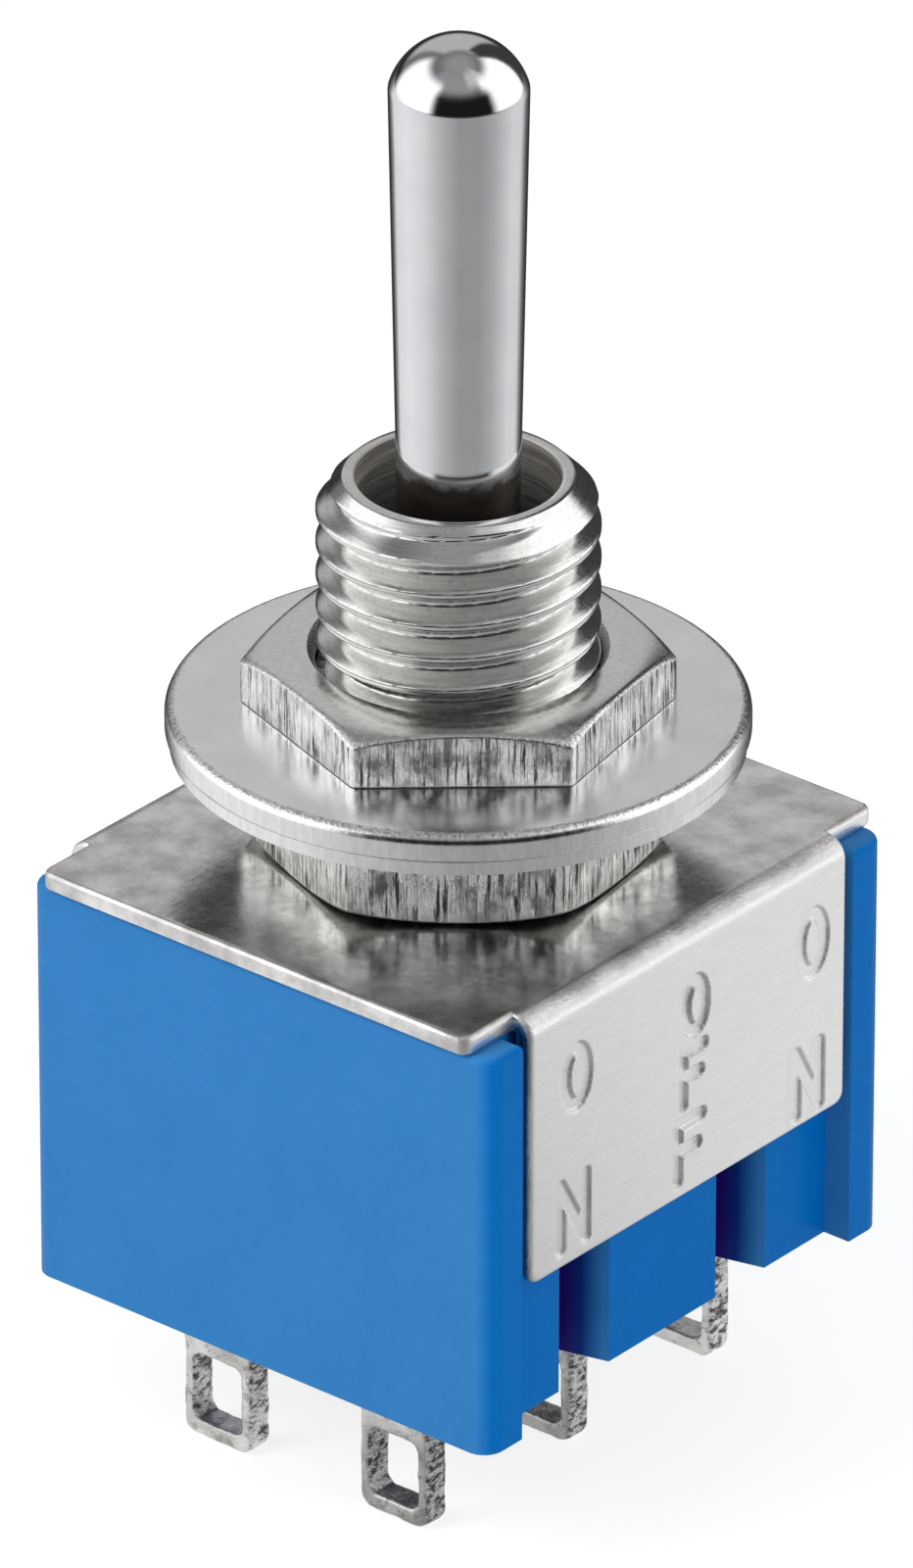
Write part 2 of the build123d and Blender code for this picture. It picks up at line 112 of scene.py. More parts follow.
# Solder skin of the lugs: its mesh, how high it was dipped, and the depth and scale of its waves
LUG_MESH = 0.055
DIP_TOP = 4.1
DIP_WAVES = [(0.024, 2.3), (0.010, 6.0)]
DIP_SHRINK = 0.012


# Short ways to write a tree of nodes
class Tree:
    """Adds nodes to a tree. An input may be a value or another node's output."""

    def __init__(self, tree):
        self.tree = tree

    def add(self, kind, inputs=(), out=0, **settings):
        node = self.tree.nodes.new(kind)
        for name, value in settings.items():
            setattr(node, name, value)
        for key, value in dict(inputs).items():
            self.feed(node.inputs[key], value)
        return node.outputs[out]

    def feed(self, socket, value):
        if isinstance(value, bpy.types.NodeSocket):
            self.tree.links.new(value, socket)
        else:
            socket.default_value = value

    def math(self, operation, a, b=0.0, c=0.0):
        return self.add("ShaderNodeMath", {0: a, 1: b, 2: c}, operation=operation)

    def vector(self, operation, a, b=(0, 0, 0), out=0):
        return self.add("ShaderNodeVectorMath", {0: a, 1: b}, out=out, operation=operation)

    def stretch(self, vector, factors):
        return self.vector("MULTIPLY", vector, factors)

    def xyz(self, vector):
        node = self.tree.nodes.new("ShaderNodeSeparateXYZ")
        self.feed(node.inputs[0], vector)
        return node.outputs[0], node.outputs[1], node.outputs[2]

    def remap(self, value, low, high, to_low=0.0, to_high=1.0, smooth=False):
        inputs = {"Value": value, "From Min": low, "From Max": high, "To Min": to_low, "To Max": to_high}
        kind = "SMOOTHSTEP" if smooth else "LINEAR"
        return self.add("ShaderNodeMapRange", inputs, interpolation_type=kind)

    def spread(self, value, low=0.0, high=1.0):
        """Takes a noise's usual range to low and high."""
        return self.remap(value, *NOISE_RANGE, low, high)

    def noise(self, vector, scale, detail=4.0, roughness=0.55):
        inputs = {"Vector": vector, "Scale": scale, "Detail": detail, "Roughness": roughness}
        return self.add("ShaderNodeTexNoise", inputs)

    def blend(self, factor, a, b):
        node = self.tree.nodes.new("ShaderNodeMix")
        node.data_type = "RGBA"
        self.feed(node.inputs[0], factor)
        self.feed(node.inputs[6], a)
        self.feed(node.inputs[7], b)
        return node.outputs[2]

    def bump(self, height, strength, distance, normal=None):
        inputs = {"Height": height, "Strength": strength, "Distance": distance * MM}
        if normal is not None:
            inputs["Normal"] = normal
        return self.add("ShaderNodeBump", inputs)


def new_finish(name, metallic=0.0, **sockets):
    """A material, its tree, its shader, and object coordinates in millimetres."""
    material = bpy.data.materials.new(name)
    material.use_nodes = True
    tree = Tree(material.node_tree)
    shader = material.node_tree.nodes["Principled BSDF"]
    shader.inputs["Metallic"].default_value = metallic
    for socket, value in sockets.items():
        shader.inputs[socket.replace("_", " ")].default_value = value
    place = tree.add("ShaderNodeTexCoord", out="Object")
    place = tree.vector("MULTIPLY", place, (1000.0, 1000.0, 1000.0))
    return material, tree, shader, place


def grey(value):
    return (value, value, value, 1.0)


# Finishes
def lever_chrome():
    """Polished, with painted shade where the lever stands down in the bushing's bore."""
    material, tree, shader, place = new_finish("lever_chrome", metallic=1.0)
    turning = tree.noise(tree.stretch(place, (0.4, 0.4, 26.0)), 1.0, 3.0)
    cloud = tree.noise(place, 0.9, 2.0)
    _, _, z = tree.xyz(place)
    line = tree.math("MULTIPLY_ADD", tree.noise(place, 2.6, 4.0, 0.6), 0.5, z)
    # Painted shade: dark brown and rougher below a wavy line just above the bushing's top.
    bore_shade = tree.remap(line, BUSHING_TOP + 0.66, BUSHING_TOP + 0.46, smooth=True)
    base = tree.blend(tree.spread(cloud), (0.71, 0.725, 0.75, 1), (0.77, 0.78, 0.80, 1))
    tree.feed(shader.inputs["Base Color"], tree.blend(bore_shade, base, (0.15, 0.135, 0.125, 1)))
    rough = tree.spread(turning, 0.07, 0.13)
    tree.feed(shader.inputs["Roughness"], tree.math("MULTIPLY_ADD", bore_shade, 0.10, rough))
    tree.feed(shader.inputs["Normal"], tree.bump(turning, 0.12, 0.004))
    return material


def thread_ridge(tree, x, y, z, crest_height, crest_turn, pitch):
    """One along the thread's crest, nought along its root."""
    turn = tree.math("DIVIDE", tree.math("ARCTAN2", y, x), 2 * math.pi)
    rise = tree.math("DIVIDE", tree.math("SUBTRACT", z, crest_height), pitch)
    phase = tree.math("FRACT", tree.math("SUBTRACT", rise, tree.math("SUBTRACT", turn, crest_turn)))
    return tree.math("ABSOLUTE", tree.math("MULTIPLY_ADD", phase, 2.0, -1.0))


def from_axis(tree, place):
    """Distance from the bushing's axis."""
    return tree.vector("LENGTH", tree.stretch(place, (1.0, 1.0, 0.0)), out="Value")


def bushing_nickel():
    """Turned and plated outside, with painted dark reflection lines beside the thread's crest, duller in
    the ringed bore, with painted shade deeper down the bore.
    """
    material, tree, shader, place = new_finish("bushing_nickel", metallic=1.0)
    bore = tree.remap(from_axis(tree, place), BORE_RADIUS + 0.09, BORE_RADIUS + 0.02)
    turning = tree.noise(tree.stretch(place, (0.5, 0.5, 22.0)), 1.0, 4.0, 0.6)
    rings = tree.noise(tree.stretch(place, (0.25, 0.25, 9.0)), 1.0, 3.0, 0.7)
    grain = tree.noise(place, 9.0, 5.0, 0.65)
    pits = tree.remap(grain, 0.56, 0.72)
    tone = tree.remap(turning, 0.25, 0.75)
    base = tree.blend(tone, (0.62, 0.615, 0.60, 1), (0.86, 0.855, 0.84, 1))
    base = tree.blend(tree.math("MULTIPLY", pits, 0.55), base, (0.36, 0.355, 0.34, 1))
    x, y, z = tree.xyz(place)
    ridge = thread_ridge(tree, x, y, z, THREAD_CREST_HEIGHT, THREAD_CREST_ANGLE / 360, THREAD_PITCH)
    wander = tree.math("MULTIPLY_ADD", grain, 0.05, -0.025)
    ridge = tree.math("ADD", ridge, wander)
    # Painted dark reflection: two dark lines beside the thread's crest, fading out towards the chamfered
    # top.
    painted_crest_band = tree.math("MULTIPLY", tree.remap(ridge, 0.84, 0.88), tree.remap(ridge, 0.94, 0.90))
    free = tree.remap(z, THREAD_END - 0.1, THREAD_END - 0.25)
    painted_crest_band = tree.math("MULTIPLY", tree.math("MULTIPLY", painted_crest_band, free), 0.75)
    base = tree.blend(painted_crest_band, base, (0.14, 0.135, 0.13, 1))
    bore_rings_and_shade = tree.blend(tree.remap(rings, 0.42, 0.58), (0.48, 0.45, 0.42, 1), (0.95, 0.92, 0.88, 1))
    # Painted shade: the ringed bore darkens from 0.4 mm to 2 mm below the bushing's top.
    bore_rings_and_shade = tree.blend(tree.remap(z, BUSHING_TOP - 0.4, BUSHING_TOP - 2.0), bore_rings_and_shade, (0.14, 0.13, 0.12, 1))
    tree.feed(shader.inputs["Base Color"], tree.blend(bore, base, bore_rings_and_shade))
    tree.feed(shader.inputs["Metallic"], tree.remap(bore, 0.0, 1.0, 1.0, 0.2))
    rough = tree.spread(grain, 0.09, 0.22)
    tree.feed(shader.inputs["Roughness"], tree.math("MULTIPLY_ADD", bore, 0.3, rough))
    height = tree.math("ADD", tree.math("MULTIPLY", turning, 0.7), tree.math("MULTIPLY", grain, 0.3))
    tree.feed(shader.inputs["Normal"], tree.bump(height, 0.35, 0.01))
    return material


def nut_nickel():
    """Satin on the faces, sheared upright on the flats, knocked along the edges."""
    material, tree, shader, place = new_finish("nut_nickel", metallic=1.0)
    normal = tree.add("ShaderNodeNewGeometry", out="Normal")
    _, _, tilt = tree.xyz(normal)
    tilt = tree.math("ABSOLUTE", tilt)
    flats = tree.remap(tilt, 0.35, 0.15)
    edges = tree.math("MULTIPLY", tree.remap(tilt, 0.1, 0.4), tree.remap(tilt, 0.95, 0.8))
    streaks = tree.noise(tree.stretch(place, (11.0, 11.0, 0.7)), 1.0, 5.0, 0.7)
    patch = tree.remap(tree.noise(tree.stretch(place, (1.6, 1.6, 1.1)), 1.0, 2.0), 0.36, 0.56, 0.3, 1.0)
    grain = tree.noise(place, 7.0, 5.0, 0.6)
    chips = tree.noise(place, 15.0, 3.0, 0.65)
    plain = tree.blend(tree.spread(grain), (0.70, 0.695, 0.68, 1), (0.86, 0.855, 0.84, 1))
    sheared = tree.blend(tree.remap(streaks, 0.42, 0.50), (0.07, 0.068, 0.063, 1), (1.0, 0.995, 0.985, 1))
    worn = tree.math("MULTIPLY", flats, patch)
    chipped = tree.math("MULTIPLY", tree.remap(chips, 0.55, 0.68), tree.math("MULTIPLY", edges, 0.7))
    base = tree.blend(worn, plain, sheared)
    tree.feed(shader.inputs["Base Color"], tree.blend(chipped, base, (0.20, 0.195, 0.185, 1)))
    rough = tree.spread(grain, 0.13, 0.24)
    tree.feed(shader.inputs["Roughness"], tree.math("MULTIPLY_ADD", flats, 0.05, rough))
    shear = tree.math("MULTIPLY", streaks, worn)
    knock = tree.math("MULTIPLY", chips, edges)
    normal = tree.bump(shear, 1.0, 0.055)
    normal = tree.bump(knock, 0.8, 0.03, normal)
    tree.feed(shader.inputs["Normal"], tree.bump(grain, 0.3, 0.01, normal))
    return material


def washer_nickel():
    """Fine-grained on its face, knocked where the face turns over into the rim."""
    material, tree, shader, place = new_finish("washer_nickel", metallic=1.0)
    normal = tree.add("ShaderNodeNewGeometry", out="Normal")
    _, _, tilt = tree.xyz(normal)
    tilt = tree.math("ABSOLUTE", tilt)
    rim = tree.remap(tilt, 0.9, 0.5)
    turnover = tree.math("MULTIPLY", tree.remap(tilt, 1.0, 0.97), tree.remap(tilt, 0.55, 0.85))
    grain = tree.noise(place, 8.0, 6.0, 0.65)
    cloud = tree.noise(place, 0.7, 3.0)
    chips = tree.noise(place, 13.0, 3.0, 0.65)
    upright = tree.noise(tree.stretch(place, (7.0, 7.0, 1.5)), 1.0, 5.0, 0.7)
    plain = tree.blend(tree.spread(cloud), (0.86, 0.865, 0.87, 1), (0.95, 0.955, 0.96, 1))
    sides = tree.blend(tree.remap(upright, 0.38, 0.60), (0.72, 0.72, 0.725, 1), (0.84, 0.84, 0.845, 1))
    base = tree.blend(tree.math("MULTIPLY", rim, 0.8), plain, sides)
    dull = tree.math("MULTIPLY", tree.remap(chips, 0.50, 0.62), turnover)
    base = tree.blend(tree.math("MULTIPLY", dull, 0.6), base, (0.26, 0.26, 0.255, 1))
    tree.feed(shader.inputs["Base Color"], base)
    tree.feed(shader.inputs["Roughness"], tree.spread(grain, 0.16, 0.27))
    normal = tree.bump(tree.math("MULTIPLY", upright, rim), 0.3, 0.008)
    normal = tree.bump(tree.math("MULTIPLY", chips, turnover), 0.8, 0.03, normal)
    tree.feed(shader.inputs["Normal"], tree.bump(grain, 0.4, 0.008, normal))
    return material


def frame_nickel():
    """Mottled on the plate, brushed on the flaps, rougher along the folds."""
    material, tree, shader, place = new_finish("frame_nickel", metallic=1.0)
    normal = tree.add("ShaderNodeNewGeometry", out="Normal")
    tilt, _, _ = tree.xyz(normal)
    tilt = tree.math("ABSOLUTE", tilt)
    flap = tree.remap(tilt, 0.6, 0.95)
    plate = tree.math("SUBTRACT", 1.0, flap)
    fold = tree.math("MULTIPLY", tree.remap(tilt, 0.05, 0.25), tree.remap(tilt, 0.98, 0.85))
    brushed = tree.noise(tree.stretch(place, (1.0, 1.6, 16.0)), 1.0, 5.0, 0.65)
    rolled = tree.noise(tree.stretch(place, (4.0, 0.9, 4.0)), 1.0, 5.0, 0.65)
    speck = tree.noise(place, 12.0, 5.0, 0.65)
    cloud = tree.noise(place, 1.1, 6.0, 0.62)
    plate_tone = tree.blend(tree.remap(cloud, 0.38, 0.62), (0.55, 0.54, 0.525, 1), (0.86, 0.855, 0.845, 1))
    flap_tone = tree.blend(tree.spread(brushed), (0.88, 0.88, 0.875, 1), (0.96, 0.96, 0.955, 1))
    tree.feed(shader.inputs["Base Color"], tree.blend(flap, plate_tone, flap_tone))
    plate_rough = tree.spread(speck, 0.13, 0.22)
    flap_rough = tree.spread(speck, 0.26, 0.40)
    mixed = tree.math("MULTIPLY_ADD", flap_rough, flap, tree.math("MULTIPLY", plate_rough, plate))
    tree.feed(shader.inputs["Roughness"], tree.math("MULTIPLY_ADD", fold, 0.22, mixed))
    flap_grain = tree.math("MULTIPLY", tree.math("ADD", brushed, tree.math("MULTIPLY", speck, 0.5)), flap)
    rolling = tree.math("ADD", tree.math("MULTIPLY", rolled, 0.5), tree.math("MULTIPLY", speck, 0.25))
    plate_grain = tree.math("MULTIPLY", rolling, plate)
    creases = tree.bump(tree.math("MULTIPLY", speck, fold), 0.9, 0.03)
    normal = tree.bump(tree.math("ADD", flap_grain, plate_grain), 0.55, 0.016, creases)
    tree.feed(shader.inputs["Normal"], normal)
    return material


def blue_moulding():
    """Painted light and shade: paler lit blue on the end walls, deeper shaded blue on the flap sides, and
    painted shade down into their grooves.
    """
    material, tree, shader, place = new_finish("blue_moulding", Roughness=0.35)
    shader.inputs["Specular IOR Level"].default_value = 0.05
    normal = tree.add("ShaderNodeNewGeometry", out="Normal")
    facing, _, _ = tree.xyz(normal)
    x, y, _ = tree.xyz(place)
    x = tree.math("ABSOLUTE", x)
    y = tree.math("ABSOLUTE", y)
    peel = tree.noise(place, 3.2, 5.0, 0.6)
    cloud = tree.noise(place, 0.5, 3.0)
    grain = tree.noise(place, 16.0, 3.0, 0.6)
    tone = tree.math("ADD", tree.math("MULTIPLY", peel, 0.5), tree.math("MULTIPLY", cloud, 0.5))
    tone = tree.remap(tone, 0.35, 0.65)
    # Painted light and shade: faces along Y get a paler lit blue, faces along X a deeper shaded blue.
    painted_lit_blue = tree.blend(tone, (0.034, 0.216, 0.545, 1), (0.042, 0.236, 0.580, 1))
    deep = tree.blend(tone, (0.000, 0.152, 0.520, 1), (0.001, 0.166, 0.550, 1))
    side = tree.remap(tree.math("ABSOLUTE", facing), 0.3, 0.85)
    outer = tree.blend(side, painted_lit_blue, deep)
    # Painted shade: dark navy turning purple down into the grooves of the flap sides.
    sunk = tree.math("MULTIPLY", tree.remap(x, 5.55, 4.55), tree.remap(y, 3.7, 3.5))
    shade = tree.blend(tree.remap(sunk, 0.5, 1.0), (0.001, 0.036, 0.235, 1), (0.022, 0.003, 0.150, 1))
    tree.feed(shader.inputs["Base Color"], tree.blend(tree.remap(sunk, 0.05, 0.55), outer, shade))
    tree.feed(shader.inputs["Roughness"], tree.spread(grain, 0.28, 0.40))
    relief = tree.math("ADD", peel, tree.math("MULTIPLY", grain, 0.3))
    tree.feed(shader.inputs["Normal"], tree.bump(relief, 0.25, 0.02))
    return material


def tinned_lug():
    """Dipped solder: smooth on the broad faces, creased on the narrow ones."""
    material, tree, shader, place = new_finish("tinned_lug", metallic=1.0)
    normal = tree.add("ShaderNodeNewGeometry", out="Normal")
    facing, _, _ = tree.xyz(normal)
    edge = tree.remap(tree.math("ABSOLUTE", facing), 0.35, 0.75)
    blotch = tree.noise(place, 1.3, 3.0, 0.55)
    wrinkle = tree.noise(tree.stretch(place, (1.0, 1.0, 1.9)), 3.6, 6.0, 0.74)
    grain = tree.noise(place, 12.0, 4.0, 0.65)
    flakes = tree.remap(tree.noise(place, 3.4, 5.0, 0.65), 0.57, 0.60)
    skin = tree.blend(tree.remap(blotch, 0.35, 0.65), (0.48, 0.475, 0.46, 1), (0.80, 0.795, 0.78, 1))
    skin = tree.blend(tree.math("MULTIPLY", flakes, 0.6), skin, (0.30, 0.29, 0.265, 1))
    creased = tree.blend(tree.remap(wrinkle, 0.43, 0.54), (0.07, 0.066, 0.058, 1), (1.0, 0.995, 0.98, 1))
    tree.feed(shader.inputs["Base Color"], tree.blend(tree.math("MULTIPLY", edge, 0.95), skin, creased))
    tree.feed(shader.inputs["Roughness"], tree.spread(grain, 0.18, 0.34))
    relief = tree.math("MULTIPLY", wrinkle, tree.remap(edge, 0.0, 1.0, 0.25, 1.0))
    normal = tree.bump(relief, 0.9, 0.12)
    tree.feed(shader.inputs["Normal"], tree.bump(grain, 0.4, 0.012, normal))
    return material


def plain_metal(name, dark, light, rough_low, rough_high, grain_scale=8.0, draw=(1.0, 1.0, 1.0)):
    """Metal of the pieces inside the case: a grain, and a little tarnish."""
    material, tree, shader, place = new_finish(name, metallic=1.0)
    grain = tree.noise(tree.stretch(place, draw), grain_scale, 5.0, 0.6)
    cloud = tree.noise(place, 1.5, 3.0)
    tone = tree.math("ADD", tree.math("MULTIPLY", grain, 0.5), tree.math("MULTIPLY", cloud, 0.5))
    tree.feed(shader.inputs["Base Color"], tree.blend(tree.remap(tone, 0.35, 0.65), dark, light))
    tree.feed(shader.inputs["Roughness"], tree.spread(grain, rough_low, rough_high))
    tree.feed(shader.inputs["Normal"], tree.bump(grain, 0.3, 0.01))
    return material


def plain_moulding(name, dark, light, rough_low, rough_high, grain_scale=6.0):
    """Plastics and board of the pieces inside and under the case."""
    material, tree, shader, place = new_finish(name)
    grain = tree.noise(place, grain_scale, 5.0, 0.6)
    tree.feed(shader.inputs["Base Color"], tree.blend(tree.remap(grain, 0.35, 0.65), dark, light))
    tree.feed(shader.inputs["Roughness"], tree.spread(grain, rough_low, rough_high))
    tree.feed(shader.inputs["Normal"], tree.bump(grain, 0.3, 0.02))
    return material


CHROME = lever_chrome()
BUSHING = bushing_nickel()
NUT = nut_nickel()
WASHER_FINISH = washer_nickel()
FRAME = frame_nickel()
BLUE = blue_moulding()
TINNED = tinned_lug()
SPRING = plain_metal("spring_steel", (0.42, 0.42, 0.43, 1), (0.60, 0.60, 0.61, 1), 0.25, 0.4)
BRASS = plain_metal(
    "contact_brass", (0.62, 0.42, 0.16, 1), (0.80, 0.60, 0.28, 1), 0.22, 0.4,
    grain_scale=6.0, draw=(1.0, 0.2, 1.0),
)
SILVER = plain_metal("contact_silver", (0.74, 0.73, 0.70, 1), (0.90, 0.89, 0.87, 1), 0.18, 0.35)
RESIN = plain_moulding("seal_resin", (0.010, 0.018, 0.035, 1), (0.025, 0.040, 0.070, 1), 0.3, 0.5, 3.0)
BOARD = plain_moulding("insulator_board", (0.26, 0.13, 0.06, 1), (0.42, 0.24, 0.12, 1), 0.5, 0.7)
NYLON = plain_moulding("driver_nylon", (0.74, 0.72, 0.66, 1), (0.84, 0.83, 0.78, 1), 0.35, 0.5)


# Short ways to make a mesh
def new_piece(name, points, faces, finish, sharp=35):
    """A closed mesh from points in millimetres, with its faces turned outwards."""
    mesh = bpy.data.meshes.new(name)
    mesh.from_pydata([(x * MM, y * MM, z * MM) for x, y, z in points], [], faces)
    shape = bmesh.new()
    shape.from_mesh(mesh)
    bmesh.ops.recalc_face_normals(shape, faces=shape.faces)
    shape.to_mesh(mesh)
    shape.free()
    piece = bpy.data.objects.new(name, mesh)
    bpy.context.scene.collection.objects.link(piece)
    mesh.materials.append(finish)
    soften(mesh, sharp)
    return piece


def soften(mesh, sharp):
    for face in mesh.polygons:
        face.use_smooth = True
    mesh.set_sharp_from_angle(angle=math.radians(sharp))


def keep_result(piece, sharp=None):
    """Puts what a piece's modifiers make in place of its mesh."""
    evaluated = piece.evaluated_get(bpy.context.evaluated_depsgraph_get())
    mesh = bpy.data.meshes.new_from_object(evaluated)
    piece.modifiers.clear()
    piece.data = mesh
    if sharp is not None:
        soften(mesh, sharp)
    return piece


def rounded(outline, radii, steps):
    """A closed outline in which each corner with a radius becomes an arc."""
    result = []
    count = len(outline)
    for i, point in enumerate(outline):
        radius = radii[i]
        if radius <= 0:
            result.append(point)
            continue
        corner = Vector(point)
        before = (Vector(outline[i - 1]) - corner).normalized()
        after = (Vector(outline[(i + 1) % count]) - corner).normalized()
        half = before.angle(after) / 2
        reach = radius / math.tan(half)
        centre = corner + (before + after).normalized() * (radius / math.sin(half))
        start = corner + before * reach - centre
        end = corner + after * reach - centre
        sweep = start.angle_signed(end)
        for k in range(steps + 1):
            turn = -sweep * k / steps
            spoke = Matrix.Rotation(turn, 2) @ start
            result.append(tuple(centre + spoke))
    return result


def turned(name, outline, finish, segments=128, closed=True):
    """Revolves an outline of (radius, height) points. An open outline starts and ends on the axis."""
    points, rings = [], []
    for radius, height in outline:
        if radius < TOUCHING:
            rings.append([len(points)])
            points.append((0.0, 0.0, height))
            continue
        ring = []
        for k in range(segments):
            angle = 2 * math.pi * k / segments
            ring.append(len(points))
            points.append((radius * math.cos(angle), radius * math.sin(angle), height))
        rings.append(ring)
    faces = []
    pairs = list(zip(rings, rings[1:]))
    if closed:
        pairs.append((rings[-1], rings[0]))
    for lower, upper in pairs:
        for k in range(segments):
            after = (k + 1) % segments
            if len(lower) == 1:
                faces.append((lower[0], upper[after], upper[k]))
            elif len(upper) == 1:
                faces.append((lower[k], lower[after], upper[0]))
            else:
                faces.append((lower[k], lower[after], upper[after], upper[k]))
    return new_piece(name, points, faces, finish)


# Lever
def ball_side(radius, height, start, end, steps):
    """Points up the side of a ball, between two angles counted from its foot."""
    angles = [start + (end - start) * k / steps for k in range(steps + 1)]
    return [(radius * math.sin(angle), height - radius * math.cos(angle)) for angle in angles]


def make_lever():
    """A tapered stem with a domed tip above its pivot ball, and an arm with a smaller ball below."""
    stem_steps, dome_steps = 8, 28
    stem_gap, dome_lead = 0.05, 0.02
    neck = math.asin(ARM_RADIUS / LOWER_BALL)
    outline = ball_side(LOWER_BALL, LOWER_BALL_HEIGHT, 0.0, math.pi - neck, 12)
    arm, stem = math.asin(ARM_RADIUS / PIVOT_BALL), math.asin(STEM_RADIUS / PIVOT_BALL)
    outline += ball_side(PIVOT_BALL, PIVOT_HEIGHT, arm, math.pi - stem, 24)
    rise = LEVER_TOP - DOME_HEIGHT - stem_gap - BUSHING_TOP
    for k in range(stem_steps + 1):
        radius = STEM_RADIUS + (TIP_RADIUS - STEM_RADIUS) * k / stem_steps
        outline.append((radius, BUSHING_TOP + rise * k / stem_steps))
    dome = (TIP_RADIUS**2 + DOME_HEIGHT**2) / (2 * DOME_HEIGHT)
    spread = math.asin(TIP_RADIUS / dome)
    for k in range(dome_steps):
        angle = spread * (1 - k / dome_steps) - (dome_lead if k == 0 else 0.0)
        outline.append((dome * math.sin(angle), LEVER_TOP - dome + dome * math.cos(angle)))
    outline.append((0.0, LEVER_TOP))
    lever = turned("lever", outline, CHROME, 160, closed=False)
    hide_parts("toggle_lever")
    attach(lever, "lever")


# Threaded bushing
def thread_tree():
    """Sinks a helical thread into a turned wall. The wall's own radius is the crest."""
    group = bpy.data.node_groups.new("helical thread", "GeometryNodeTree")
    sockets = group.interface
    sockets.new_socket("Geometry", in_out="INPUT", socket_type="NodeSocketGeometry")
    for name in ("Crest radius", "Depth", "Pitch", "Crest height", "Crest turn", "Start height", "Run-out"):
        sockets.new_socket(name, in_out="INPUT", socket_type="NodeSocketFloat")
    sockets.new_socket("Finish", in_out="INPUT", socket_type="NodeSocketMaterial")
    sockets.new_socket("Geometry", in_out="OUTPUT", socket_type="NodeSocketGeometry")
    given = group.nodes.new("NodeGroupInput").outputs
    tree = Tree(group)
    place = tree.add("GeometryNodeInputPosition")
    x, y, z = tree.xyz(place)
    radius = tree.math("SQRT", tree.math("ADD", tree.math("MULTIPLY", x, x), tree.math("MULTIPLY", y, y)))
    ridge = thread_ridge(tree, x, y, z, given["Crest height"], given["Crest turn"], given["Pitch"])
    flank = tree.remap(ridge, 0.12, 0.86)
    soft = tree.remap(ridge, 0.06, 0.92, smooth=True)
    form = tree.math("MULTIPLY_ADD", flank, 0.7, tree.math("MULTIPLY", soft, 0.3))
    full = tree.math("ADD", given["Start height"], given["Run-out"])
    deep = tree.remap(z, given["Start height"], full)
    cut = tree.math("MULTIPLY", tree.math("SUBTRACT", 1.0, form), given["Depth"])
    cut = tree.math("MULTIPLY", cut, deep)
    threaded = tree.math("SUBTRACT", given["Crest radius"], cut)
    below = tree.math("LESS_THAN", z, given["Start height"])
    wanted = tree.math("MINIMUM", radius, tree.math("MULTIPLY_ADD", below, 1.0, threaded))
    scale = tree.math("DIVIDE", wanted, radius)
    moved_x, moved_y = tree.math("MULTIPLY", x, scale), tree.math("MULTIPLY", y, scale)
    moved = tree.add("ShaderNodeCombineXYZ", {0: moved_x, 1: moved_y, 2: z})
    shaped = tree.add("GeometryNodeSetPosition", {"Geometry": given["Geometry"], "Position": moved})
    realized = tree.add("GeometryNodeRealizeInstances", {"Geometry": shaped})
    finished = tree.add("GeometryNodeSetMaterial", {"Geometry": realized, "Material": given["Finish"]})
    result = group.nodes.new("NodeGroupOutput")
    group.links.new(finished, result.inputs[0])
    return group


def run_tree(piece, group, values, sharp):
    """Runs a piece through a geometry tree with these inputs, and keeps the result as a plain mesh."""
    modifier = piece.modifiers.new(group.name, "NODES")
    modifier.node_group = group
    for item in group.interface.items_tree:
        if item.item_type == "SOCKET" and item.in_out == "INPUT" and item.name in values:
            modifier[item.identifier] = values[item.name]
    return keep_result(piece, sharp)


def bushing_outline():
    """From the staked end up to the ring, in rows fine enough for the thread, and back down the bore."""
    step = THREAD_PITCH / ROWS_PER_PITCH
    stake = [
        (BORE_RADIUS, STAKE_BOTTOM),
        (STAKE_RADIUS, STAKE_BOTTOM),
        (STAKE_RADIUS, CASE_TOP),
        (NECK_RADIUS, CASE_TOP),
        (NECK_RADIUS, PLATE_TOP),
    ]
    outline = rounded(stake, [0, 0.05, 0.05, 0, 0], 2)
    hidden = LOWER_NUT[1] - 0.1
    heights = spaced((PLATE_TOP, hidden, 0.1), (hidden, THREAD_END, step))
    outline += [(THREAD_RADIUS, z) for z in heights]
    rows = int((BUSHING_TOP - THREAD_END) / step)
    for k in range(1, rows):
        inwards = (THREAD_RADIUS - RING_RADIUS) * k / rows
        upwards = (BUSHING_TOP - THREAD_END) * k / rows
        outline.append((THREAD_RADIUS - inwards, THREAD_END + upwards))
    outline += [(RING_RADIUS + 0.02, BUSHING_TOP - 0.025), (RING_RADIUS - 0.015, BUSHING_TOP)]
    outline += [(BORE_RADIUS + 0.03, BUSHING_TOP), (BORE_RADIUS, BUSHING_TOP - 0.03)]
    return outline


def make_bushing():
    """Turned, with the thread sunk in by the tree."""
    bushing = turned("threaded_bushing", bushing_outline(), BUSHING, 168)
    values = {
        "Crest radius": THREAD_RADIUS * MM,
        "Depth": THREAD_DEPTH * MM,
        "Pitch": THREAD_PITCH * MM,
        "Crest height": THREAD_CREST_HEIGHT * MM,
        "Crest turn": THREAD_CREST_ANGLE / 360.0,
        "Start height": (PLATE_TOP + 0.1) * MM,
        "Run-out": 0.5 * MM,
        "Finish": BUSHING,
    }
    run_tree(bushing, thread_tree(), values, 40)
    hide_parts("bushing")
    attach(bushing, "case")


